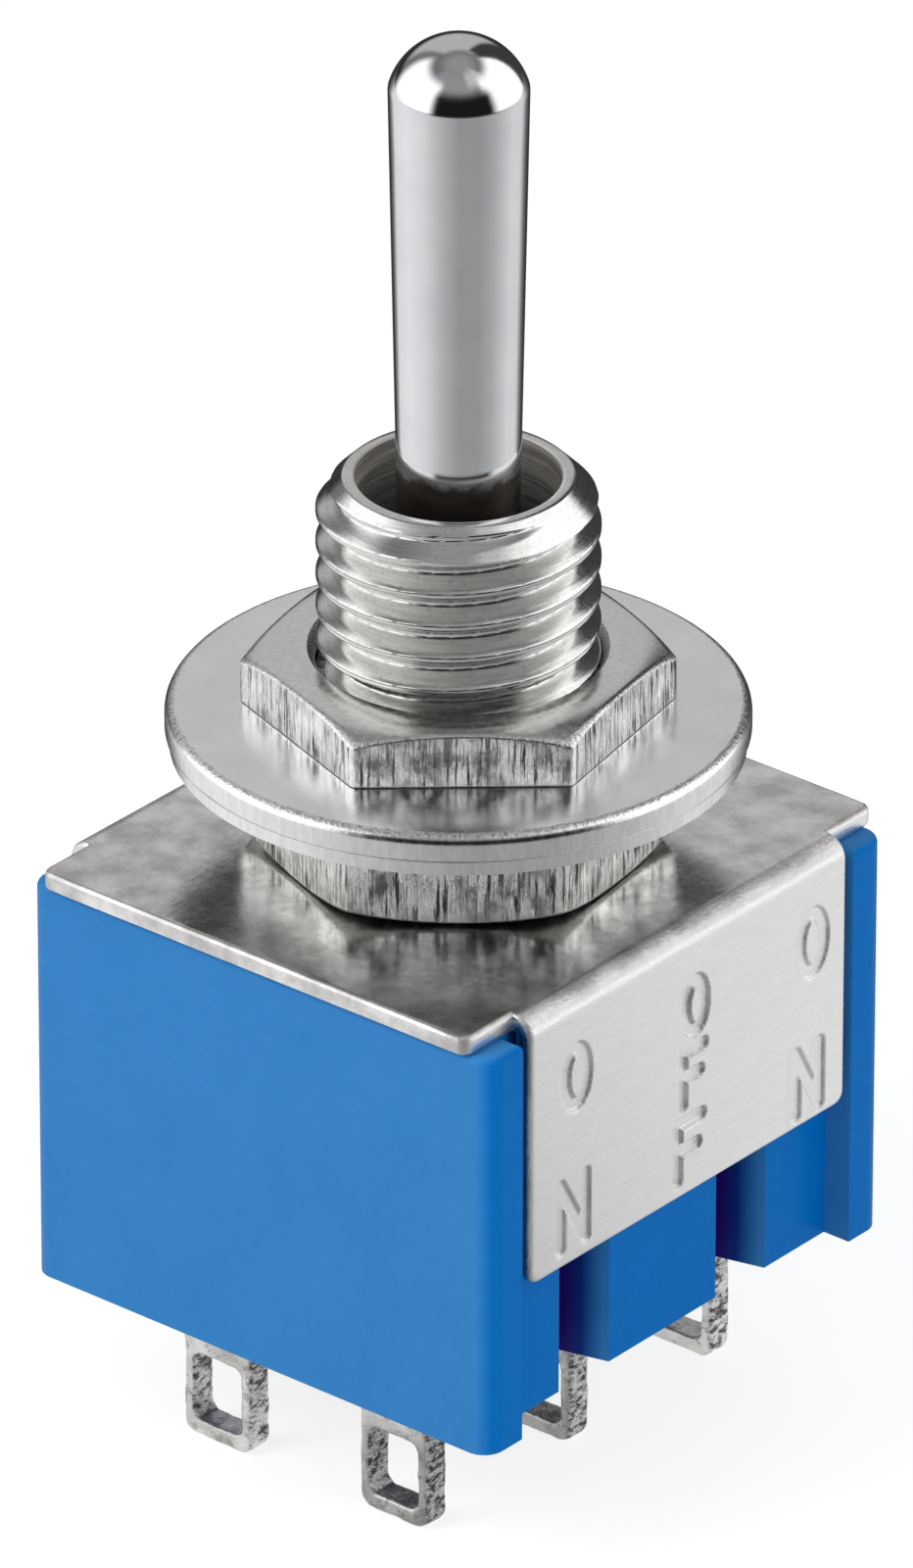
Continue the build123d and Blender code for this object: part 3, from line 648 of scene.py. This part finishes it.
# Nuts and washer
def hexagon(flats, corner, turn, steps=5, along=14):
    """Points round a hexagon with rounded corners, as (angle, reach)."""
    sides = []
    for k in range(6):
        angle = math.radians(60 * k + turn)
        reach = flats / 2 / math.cos(math.pi / 6)
        sides.append((reach * math.cos(angle), reach * math.sin(angle)))
    outline = rounded(sides, [corner] * 6, steps)
    dense = []
    per = steps + 1
    for i, point in enumerate(outline):
        dense.append(point)
        if i % per == per - 1:
            after = outline[(i + 1) % len(outline)]
            for k in range(1, along):
                share = k / along
                x = point[0] + (after[0] - point[0]) * share
                y = point[1] + (after[1] - point[1]) * share
                dense.append((x, y))
    return [(math.atan2(y, x), math.hypot(x, y)) for x, y in dense]


def nut_rings(outline, height):
    """Rings from the bore's plain end, round the outside, to its countersunk end.

    Each is a list of (angle, reach, level), with levels counted towards the chamfer.
    """
    edge, chamfer_steps = NUT_EDGE, 6
    wide = max(r for _, r in outline) - NUT_CHAMFER_RADIUS
    start, end = (math.tan(math.radians(slope)) for slope in NUT_CHAMFER_SLOPES)

    def ring(reach, level):
        return [(angle, reach(r), level(r)) for angle, r in outline]

    def drop(r):
        out = max(0.0, r - NUT_CHAMFER_RADIUS)
        return out * start + (end - start) * out * out / (2 * wide)

    def chamfer_ring(share):
        def reach(r):
            return NUT_CHAMFER_RADIUS + (r - edge - NUT_CHAMFER_RADIUS) * share

        return ring(reach, lambda r: height - drop(reach(r)))

    return [
        ring(lambda r: NUT_BORE, lambda r: NUT_BREAK),
        ring(lambda r: NUT_BORE + NUT_BREAK, lambda r: 0.0),
        ring(lambda r: r - 2 * edge, lambda r: 0.0),
        ring(lambda r: r - 0.3 * edge, lambda r: 0.3 * edge),
        ring(lambda r: r, lambda r: edge),
        ring(lambda r: r, lambda r: height * 0.5),
        ring(lambda r: r, lambda r: height - drop(r) - edge),
        ring(lambda r: r - 0.3 * edge, lambda r: height - drop(r) - 0.25 * edge),
        ring(lambda r: r - edge, lambda r: height - drop(r - edge)),
        *[chamfer_ring(k / chamfer_steps) for k in reversed(range(chamfer_steps))],
        ring(lambda r: NUT_BORE + NUT_SINK_WIDTH, lambda r: height),
        ring(lambda r: NUT_BORE + 0.75 * NUT_SINK_WIDTH, lambda r: height - 0.15 * NUT_SINK_DEPTH),
        ring(lambda r: NUT_BORE, lambda r: height - NUT_SINK_DEPTH),
    ]


def make_nut(name, node, body, bottom, top, turn, chamfer_up):
    """A hexagon nut with one chamfered face and a countersunk bore, its edges a little rounded."""
    rings = nut_rings(hexagon(NUT_FLATS, NUT_CORNER, turn), top - bottom)
    count = len(rings[0])
    points, faces = [], []
    for ring in rings:
        for angle, reach, level in ring:
            z = bottom + level if chamfer_up else top - level
            points.append((reach * math.cos(angle), reach * math.sin(angle), z))
    for i in range(len(rings)):
        here, there = i * count, ((i + 1) % len(rings)) * count
        for k in range(count):
            after = (k + 1) % count
            faces.append((here + k, here + after, there + after, there + k))
    nut = new_piece(name, points, faces, NUT, 28)
    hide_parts(node)
    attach(nut, body)


def make_washer():
    """The large washer, its upper rim turned over further than its lower one."""
    bottom, top = WASHER
    outline = [(WASHER_BORE, bottom), (WASHER_RADIUS, bottom), (WASHER_RADIUS, top), (WASHER_BORE, top)]
    outline = rounded(outline, [0.05, 0.1, 0.24, 0.06], 6)
    washer = turned("panel_washer", outline, WASHER_FINISH, 192)
    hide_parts("flat_washer")
    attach(washer, "washers")


# Frame with its stamped legend
ROUND_STEPS = 32
ROUND_TURNS = [k * math.pi / (ROUND_STEPS // 2) for k in range(ROUND_STEPS + 1)]
LETTER_STROKES = {
    "O": [[(0.5 + 0.5 * math.sin(turn), 0.5 + 0.5 * math.cos(turn)) for turn in ROUND_TURNS]],
    "N": [[(0.0, 0.0), (0.0, 1.0), (1.0, 0.0), (1.0, 1.0)]],
    "F": [[(0.0, 0.0), (0.0, 1.0), (1.0, 1.0)], [(0.0, 0.52), (0.82, 0.52)]],
}
# Letter, its sides along Y, its foot and head, and how firmly it is struck
LEGEND = [
    ("O", -4.29, -3.19, 10.65, 12.34, 0.9),
    ("N", -4.44, -3.23, 7.38, 9.25, 0.9),
    ("O", -0.32, 0.70, 10.75, 12.32, 1.1),
    ("F", -0.40, 0.65, 9.10, 10.72, 1.1),
    ("F", -0.56, 0.60, 7.34, 9.05, 1.1),
    ("O", 3.52, 4.70, 10.52, 12.28, 0.8),
    ("N", 3.40, 4.57, 7.25, 9.10, 0.8),
]
STROKE_WIDTH = 0.38
STROKE_WALL = 0.07
STROKE_DEPTH = 0.085
LIP_HEIGHT = 0.010
LIP_WIDTH = 0.05
FAR_OFF = 9.0


def legend_depth(y, z):
    """How deep the legend is struck at points (y, z) of the flap's face."""
    depth = np.zeros(len(y))
    half = STROKE_WIDTH / 2
    for letter, y0, y1, z0, z1, force in LEGEND:
        nearest = np.full(len(y), FAR_OFF)
        wide, high = y1 - y0 - 2 * half, z1 - z0 - 2 * half
        for stroke in LETTER_STROKES[letter]:
            path = [(y0 + half + u * wide, z0 + half + v * high) for u, v in stroke]
            for (ay, az), (by, bz) in zip(path, path[1:]):
                dy, dz = by - ay, bz - az
                along = np.clip(((y - ay) * dy + (z - az) * dz) / (dy * dy + dz * dz), 0, 1)
                nearest = np.minimum(nearest, np.hypot(y - ay - along * dy, z - az - along * dz))
        inside = np.clip((half - nearest) / STROKE_WALL, 0, 1)
        lip = np.exp(-(((nearest - half - LIP_WIDTH) / LIP_WIDTH) ** 2))
        struck = force * STROKE_DEPTH * inside * inside * (3 - 2 * inside)
        depth = np.maximum(depth, struck) - LIP_HEIGHT * force * lip
    return depth


def spaced(*spans):
    """Places along a line: each span is (from, to, step)."""
    places = []
    for low, high, step in spans:
        count = max(1, round((high - low) / step))
        places += [low + (high - low) * k / count for k in range(count)]
    return places + [spans[-1][1]]


# The sheet laid flat, along its width
FLAP_LENGTH = PLATE_TOP - BEND - FLAP_BOTTOM
BEND_LENGTH = BEND * math.pi / 2
FOLD_END = FLAP_LENGTH + BEND_LENGTH
PLATE_HALF = FLAP_FACE - BEND
SHEET_WIDTH = 2 * (FOLD_END + PLATE_HALF)
# Grid lines: at an edge, past it, along the sides, in the letters and where nothing is struck
NEAR_EDGE = [0.0, 0.012, 0.03, 0.055, 0.085, SHEET_EDGE]
PAST_EDGE = 0.18
SIDE_STEP = 0.12
LEGEND_STEP = 0.03
PLAIN_STEP = 0.4


def rows_to_middle(step):
    """Lines across the sheet, from a flap's end to the middle of the plate."""
    flap = spaced((PAST_EDGE, FLAP_LENGTH - 0.5, step), (FLAP_LENGTH - 0.5, FLAP_LENGTH, 0.1))[:-1]
    bend = spaced((FLAP_LENGTH, FOLD_END, BEND_LENGTH / 12))
    plate = [FOLD_END + e for e in NEAR_EDGE[1:]] + spaced((FOLD_END + 0.2, SHEET_WIDTH / 2, 0.6))
    return NEAR_EDGE + flap + bend + plate


def sheet_rows():
    """Lines across the whole sheet, fine in the flap which bears the legend."""
    far_half = rows_to_middle(PLAIN_STEP)[:-1]
    return rows_to_middle(LEGEND_STEP) + [SHEET_WIDTH - s for s in reversed(far_half)]


def sheet_columns():
    """Lines along the sheet, fine under the three columns of letters and coarse between them."""
    left = [-PLATE_HALF_LENGTH + e for e in NEAR_EDGE]
    left += spaced((-PLATE_HALF_LENGTH + PAST_EDGE, -FLAP_HALF - 0.1, SIDE_STEP))
    left += [-FLAP_HALF + e for e in NEAR_EDGE]
    left += spaced((-FLAP_HALF + PAST_EDGE, -4.96, SIDE_STEP))
    right = [-y for y in reversed(left)]
    middle = spaced(
        (-4.9, -4.6, 0.1),
        (-4.6, -3.0, LEGEND_STEP),
        (-3.0, -0.75, 0.2),
        (-0.75, 0.9, LEGEND_STEP),
        (0.9, 3.2, 0.2),
        (3.2, 4.9, LEGEND_STEP),
    )
    return left + middle + right


def in_sheet(s, y):
    """Whether the sheet reaches here: the plate is longer than the flaps are wide."""
    in_plate = FOLD_END - TOUCHING <= s <= SHEET_WIDTH - FOLD_END + TOUCHING
    return in_plate or abs(y) <= FLAP_HALF + TOUCHING


def rounded_in(p, q):
    """Distances from two edges of a corner, drawn in to its round, and the distance from the outline."""
    if p >= SHEET_CORNER or q >= SHEET_CORNER:
        return p, q, min(p, q)
    u, v = 1 - p / SHEET_CORNER, 1 - q / SHEET_CORNER
    u, v = u * math.sqrt(1 - v * v / 2), v * math.sqrt(1 - u * u / 2)
    return SHEET_CORNER * (1 - u), SHEET_CORNER * (1 - v), SHEET_CORNER * (1 - math.hypot(u, v))


def sheet_point(s, y, inner):
    """Where a point of the flat sheet stands when the sheet is folded."""
    near, side = min(s, SHEET_WIDTH - s), 1 if s <= SHEET_WIDTH / 2 else -1
    depth = -1.0
    if abs(y) <= FLAP_HALF + TOUCHING:
        p, q, depth = rounded_in(near, FLAP_HALF - abs(y))
        near, y = p, math.copysign(FLAP_HALF - q, y)
    if near >= FOLD_END - TOUCHING:
        p, q, plate_depth = rounded_in(near - FOLD_END, PLATE_HALF_LENGTH - abs(y))
        if abs(y) > FLAP_HALF + TOUCHING:
            near, y = p + FOLD_END, math.copysign(PLATE_HALF_LENGTH - q, y)
        depth = max(depth, plate_depth)
    drop = SHEET_EDGE - math.sqrt(max(0.0, SHEET_EDGE**2 - max(0.0, SHEET_EDGE - depth) ** 2))
    height = drop - SHEET if inner else -drop
    if near <= FLAP_LENGTH:
        x, z, out, up = FLAP_FACE, FLAP_BOTTOM + near, 1.0, 0.0
    elif near <= FOLD_END:
        angle = (near - FLAP_LENGTH) / BEND
        out, up = math.cos(angle), math.sin(angle)
        x, z = PLATE_HALF + BEND * out, PLATE_TOP - BEND + BEND * up
    else:
        x, z, out, up = PLATE_HALF - (near - FOLD_END), PLATE_TOP, 0.0, 1.0
    return side * (x + height * out), y, z + height * up


def sheet_mesh():
    """The sheet's points, outer and inner ones in turn, and its faces, with a rim where it ends."""
    rows, columns = sheet_rows(), sheet_columns()
    cells, points = {}, []
    for i, s in enumerate(rows):
        for j, y in enumerate(columns):
            if in_sheet(s, y):
                cells[i, j] = len(points)
                points += [sheet_point(s, y, False), sheet_point(s, y, True)]
    faces, used = [], {}
    for i in range(len(rows) - 1):
        for j in range(len(columns) - 1):
            loop = [(i, j), (i + 1, j), (i + 1, j + 1), (i, j + 1)]
            if not all(c in cells for c in loop):
                continue
            ids = [cells[c] for c in loop]
            faces += [ids, [k + 1 for k in reversed(ids)]]
            for a, b in zip(ids, ids[1:] + ids[:1]):
                edge = min(a, b), max(a, b)
                used[edge] = used.get(edge, 0) + 1
    faces += [(a, b, b + 1, a + 1) for (a, b), count in used.items() if count == 1]
    return points, faces


def strike_legend(points):
    """Sinks the legend into the outer face of the +X flap."""
    margin = 1e-4
    place = np.array(points)
    outer = np.arange(len(points)) % 2 == 0
    face = outer & (place[:, 0] > FLAP_FACE - margin)
    place[face, 0] -= legend_depth(place[face, 1], place[face, 2])
    return place.tolist()


def join_lining(piece):
    """Joins the fine grid on the inner side of each flap into one face."""
    lining, margin = FLAP_FACE - SHEET, 1e-5
    shape = bmesh.new()
    shape.from_mesh(piece.data)
    for level in (lining, -lining):
        flat = [f for f in shape.faces if all(abs(v.co.x - level * MM) < margin * MM for v in f.verts)]
        bmesh.ops.dissolve_faces(shape, faces=flat)
    shape.to_mesh(piece.data)
    shape.free()


def drill_plate(piece):
    """Cuts the bushing's hole."""
    below, above = PLATE_TOP - 1, PLATE_TOP + 1
    outline = [(0, below), (NECK_RADIUS, below), (NECK_RADIUS, above), (0, above)]
    drill = turned("frame_hole", outline, FRAME, 96, closed=False)
    hole = piece.modifiers.new("hole", "BOOLEAN")
    hole.operation = "DIFFERENCE"
    hole.object = drill
    hole.solver = "EXACT"
    keep_result(piece, 40)
    bpy.data.objects.remove(drill)


def make_frame():
    """One folded sheet with rolled-over edges, stamped with the legend."""
    points, faces = sheet_mesh()
    piece = new_piece("top_frame", strike_legend(points), faces, FRAME)
    join_lining(piece)
    drill_plate(piece)
    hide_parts("frame")
    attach(piece, "case")


# Solder lugs
def dip(mesh, number):
    """Waves a lug's skin below the dip's line, each lug's in its own way."""
    shift = Vector((number * 7.3, 0, 0))
    for vertex, normal in zip(mesh.vertices, [v.normal.copy() for v in mesh.vertices]):
        if vertex.co.z > DIP_TOP:
            continue
        at = vertex.co + shift
        bulge = sum(depth * noise.noise(at * scale) for depth, scale in DIP_WAVES)
        vertex.co += normal * (bulge - DIP_SHRINK)
        vertex.co.z = max(vertex.co.z, 0.0)


def make_lug(node):
    """The drawn terminal, remeshed so that its edges flow, with a dipped, uneven skin."""
    mesh = nodes[node].data.copy()
    mesh.transform(Matrix.Scale(1 / MM, 4))
    shape = bmesh.new()
    shape.from_mesh(mesh)
    bmesh.ops.remove_doubles(shape, verts=shape.verts, dist=1e-3)
    shape.to_mesh(mesh)
    shape.free()
    piece = bpy.data.objects.new("lug_" + node[-1], mesh)
    bpy.context.scene.collection.objects.link(piece)
    mesh.materials.clear()
    mesh.materials.append(TINNED)
    skin = piece.modifiers.new("skin", "REMESH")
    skin.mode = "VOXEL"
    skin.voxel_size = LUG_MESH
    flow = piece.modifiers.new("flow", "SMOOTH")
    flow.factor = 0.5
    flow.iterations = 3
    keep_result(piece)
    mesh = piece.data
    dip(mesh, int(node[-1]))
    mesh.transform(Matrix.Scale(MM, 4))
    soften(mesh, 60)
    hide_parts(node)
    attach(piece, "case")


def paint(node, finish):
    """Gives a drawn piece its finish."""
    mesh = nodes[node].data
    if mesh.materials:
        for k in range(len(mesh.materials)):
            mesh.materials[k] = finish
    else:
        mesh.materials.append(finish)
    for slot in nodes[node].material_slots:
        slot.material = finish


# Studio: the light that dull surfaces see, and how the floor's paper looks to the camera
AMBIENT = 0.50
PAPER_WHITE = 0.62
PAPER_LEVEL = 1.30


def studio_direction(azimuth, elevation):
    """A direction in the studio, with azimuth counted from the camera, positive to its right."""
    turn = math.radians(VIEW_AZIMUTH + azimuth)
    rise = math.radians(elevation)
    return (math.sin(turn) * math.cos(rise), -math.cos(turn) * math.cos(rise), math.sin(rise))


def bearings(tree, direction):
    """Azimuth from the camera, positive to its right, and elevation of a direction, in degrees."""
    right = tree.vector("DOT_PRODUCT", direction, studio_direction(90, 0), out="Value")
    front = tree.vector("DOT_PRODUCT", direction, studio_direction(0, 0), out="Value")
    _, _, up = tree.xyz(direction)
    azimuth = tree.math("DEGREES", tree.math("ARCTAN2", right, front))
    elevation = tree.math("DEGREES", tree.math("ARCSINE", up))
    return azimuth, elevation


def card(tree, bearing, centre, half, soft):
    """One inside a soft-edged window of angles, nought outside it."""
    away = tree.math("WRAP", tree.math("SUBTRACT", bearing, centre), 180.0, -180.0)
    return tree.remap(tree.math("ABSOLUTE", away), half + soft / 2, half - soft / 2, smooth=True)


# Soft boxes and flags that metal sees: azimuth, half width, elevation, half height, softness, level
BARE_STUDIO = 0.2
STUDIO = [
    (180, 34, 34, 26, 12, 0.54),
    (180, 70, -8, 14, 10, 0.025),
    (0, 180, 90, 20, 20, 0.34),
    (0, 70, 56, 18, 20, 0.34),
    (48, 26, 62, 12, 16, 0.62),
    (-84, 44, 22, 28, 18, 1.45),
    (92, 42, 22, 34, 18, 1.40),
    (146, 15, 24, 34, 8, 0.05),
    (8, 52, 14, 24, 20, 0.010),
]


def make_world():
    world = bpy.data.worlds.new("studio")
    bpy.context.scene.world = world
    world.use_nodes = True
    tree = Tree(world.node_tree)
    azimuth, elevation = bearings(tree, tree.add("ShaderNodeTexCoord", out="Generated"))
    level = BARE_STUDIO
    for turn, half_width, rise, half_height, soft, wanted in STUDIO:
        across = card(tree, azimuth, turn, half_width, soft) if half_width < 180 else 1.0
        inside = tree.math("MULTIPLY", across, card(tree, elevation, rise, half_height, soft))
        change = tree.math("SUBTRACT", wanted, level)
        level = tree.math("MULTIPLY_ADD", inside, change, level)
    path = tree.tree.nodes.new("ShaderNodeLightPath")
    glossy = path.outputs["Is Glossy Ray"]
    lit = tree.math("MULTIPLY_ADD", glossy, tree.math("SUBTRACT", level, AMBIENT), AMBIENT)
    camera = path.outputs["Is Camera Ray"]
    strength = tree.math("MULTIPLY_ADD", camera, tree.math("SUBTRACT", 1.0, lit), lit)
    background = world.node_tree.nodes["Background"]
    background.inputs["Color"].default_value = (1, 1, 1, 1)
    tree.feed(background.inputs["Strength"], strength)


# What polished metal sees in the floor, by azimuth from the camera
FLOOR_LEVELS = [
    (-180, 0.03), (-150, 0.05), (-138, 0.30), (-128, 0.88), (-95, 0.98), (-60, 0.84), (-30, 0.56),
    (0, 0.38), (35, 0.38), (60, 0.50), (97, 0.82), (121, 0.80), (137, 0.20), (150, 0.05), (180, 0.03),
]


def floor_paper():
    """White to the camera and to dull surfaces, and in steps of grey to metal."""
    material, tree, shader, place = new_finish("white_floor", Roughness=0.9)
    shader.inputs["Specular IOR Level"].default_value = 0.0
    shader.inputs["Base Color"].default_value = (0.80, 0.80, 0.80, 1)
    azimuth, _ = bearings(tree, tree.vector("NORMALIZE", place))
    ramp = tree.tree.nodes.new("ShaderNodeValToRGB")
    tree.feed(ramp.inputs[0], tree.remap(azimuth, -180.0, 180.0))
    stops = ramp.color_ramp.elements
    while len(stops) < len(FLOOR_LEVELS):
        stops.new(0.5)
    for stop, (turn, level) in zip(stops, FLOOR_LEVELS):
        stop.position = (turn + 180) / 360
        stop.color = grey(level)
    distance = tree.vector("LENGTH", place, out="Value")
    far = tree.remap(distance, 110, 220, smooth=True)
    far_front = tree.math("MULTIPLY", card(tree, azimuth, 8, 54, 16), far)
    level = tree.math("MULTIPLY", ramp.outputs[0], tree.math("MULTIPLY_ADD", far_front, -0.95, 1.0))
    reflected = tree.add("ShaderNodeEmission", {"Color": (1, 1, 1, 1), "Strength": level})
    paper = tree.add("ShaderNodeEmission", {"Color": (1, 1, 1, 1), "Strength": PAPER_LEVEL})
    path = tree.tree.nodes.new("ShaderNodeLightPath")
    camera, glossy = path.outputs["Is Camera Ray"], path.outputs["Is Glossy Ray"]
    matt = shader.outputs[0]
    seen = tree.add("ShaderNodeMixShader", {0: PAPER_WHITE, 1: matt, 2: paper})
    for_camera = tree.add("ShaderNodeMixShader", {0: camera, 1: matt, 2: seen})
    for_metal = tree.add("ShaderNodeMixShader", {0: glossy, 1: for_camera, 2: reflected})
    output = tree.tree.nodes["Material Output"]
    tree.tree.links.new(for_metal, output.inputs["Surface"])
    return material


def make_floor():
    size, drop = 400.0, 0.02
    mesh = bpy.data.meshes.new("floor")
    corners = [(-size, -size), (size, -size), (size, size), (-size, size)]
    mesh.from_pydata([(x * MM, y * MM, -drop * MM) for x, y in corners], [], [(0, 1, 2, 3)])
    floor = bpy.data.objects.new("floor", mesh)
    bpy.context.scene.collection.objects.link(floor)
    mesh.materials.append(floor_paper())


LAMPS_AIM = (0.0, 0.0, 14.0)


def add_lamp(name, azimuth, elevation, distance, size, watts):
    light = bpy.data.lights.new(name, "AREA")
    light.shape = "DISK"
    light.size = size * MM
    light.energy = watts
    lamp = bpy.data.objects.new(name, light)
    direction = Vector(studio_direction(azimuth, elevation))
    lamp.location = (Vector(LAMPS_AIM) + direction * distance) * MM
    lamp.rotation_euler = direction.to_track_quat("Z", "Y").to_euler()
    lamp.visible_glossy = False
    bpy.context.scene.collection.objects.link(lamp)


def make_camera():
    camera = bpy.data.objects.new("camera", bpy.data.cameras.new("camera"))
    bpy.context.scene.collection.objects.link(camera)
    turn, rise, roll = (math.radians(a) for a in (VIEW_AZIMUTH, VIEW_ELEVATION, VIEW_ROLL))
    back = Vector((math.sin(turn) * math.cos(rise), -math.cos(turn) * math.cos(rise), math.sin(rise)))
    right = Vector((math.cos(turn), math.sin(turn), 0.0))
    up = back.cross(right)
    right, up = right * math.cos(roll) + up * math.sin(roll), up * math.cos(roll) - right * math.sin(roll)
    axes = Matrix((right, up, back)).transposed().to_4x4()
    axes.translation = (Vector(VIEW_TARGET) + back * VIEW_DISTANCE) * MM
    camera.matrix_world = axes
    camera.data.sensor_fit = "VERTICAL"
    camera.data.sensor_height = 36.0
    camera.data.lens = LENS
    camera.data.shift_x = SHIFT_X
    camera.data.shift_y = SHIFT_Y
    camera.data.clip_start = 0.01
    camera.data.clip_end = 10.0
    bpy.context.scene.camera = camera


make_camera()
make_world()
make_floor()
add_lamp("key", azimuth=-58, elevation=38, distance=160, size=90, watts=0.12)
add_lamp("fill", azimuth=42, elevation=26, distance=200, size=110, watts=0.11)
bpy.context.scene.view_settings.view_transform = "Standard"

make_lever()
make_bushing()
make_nut("upper_hexagon_nut", "upper_nut", "upper_nut", *UPPER_NUT, chamfer_up=True)
make_nut("lower_hexagon_nut", "lower_nut", "case", *LOWER_NUT, chamfer_up=False)
make_washer()
make_frame()
for number in "123456":
    make_lug("terminal_" + number)

paint("housing", BLUE)
paint("lock_washer", WASHER_FINISH)
paint("terminal_seal", RESIN)
paint("insulator_plate", BOARD)
paint("driver", NYLON)
paint("pivot_pin", SPRING)
for side in ("left", "right"):
    paint("spring_" + side, SPRING)
    paint("plunger_" + side, BRASS)
    paint("rocker_" + side, BRASS)
    paint("rocker_tips_" + side, SILVER)
for number in "1346":
    paint("fixed_contact_" + number, SILVER)
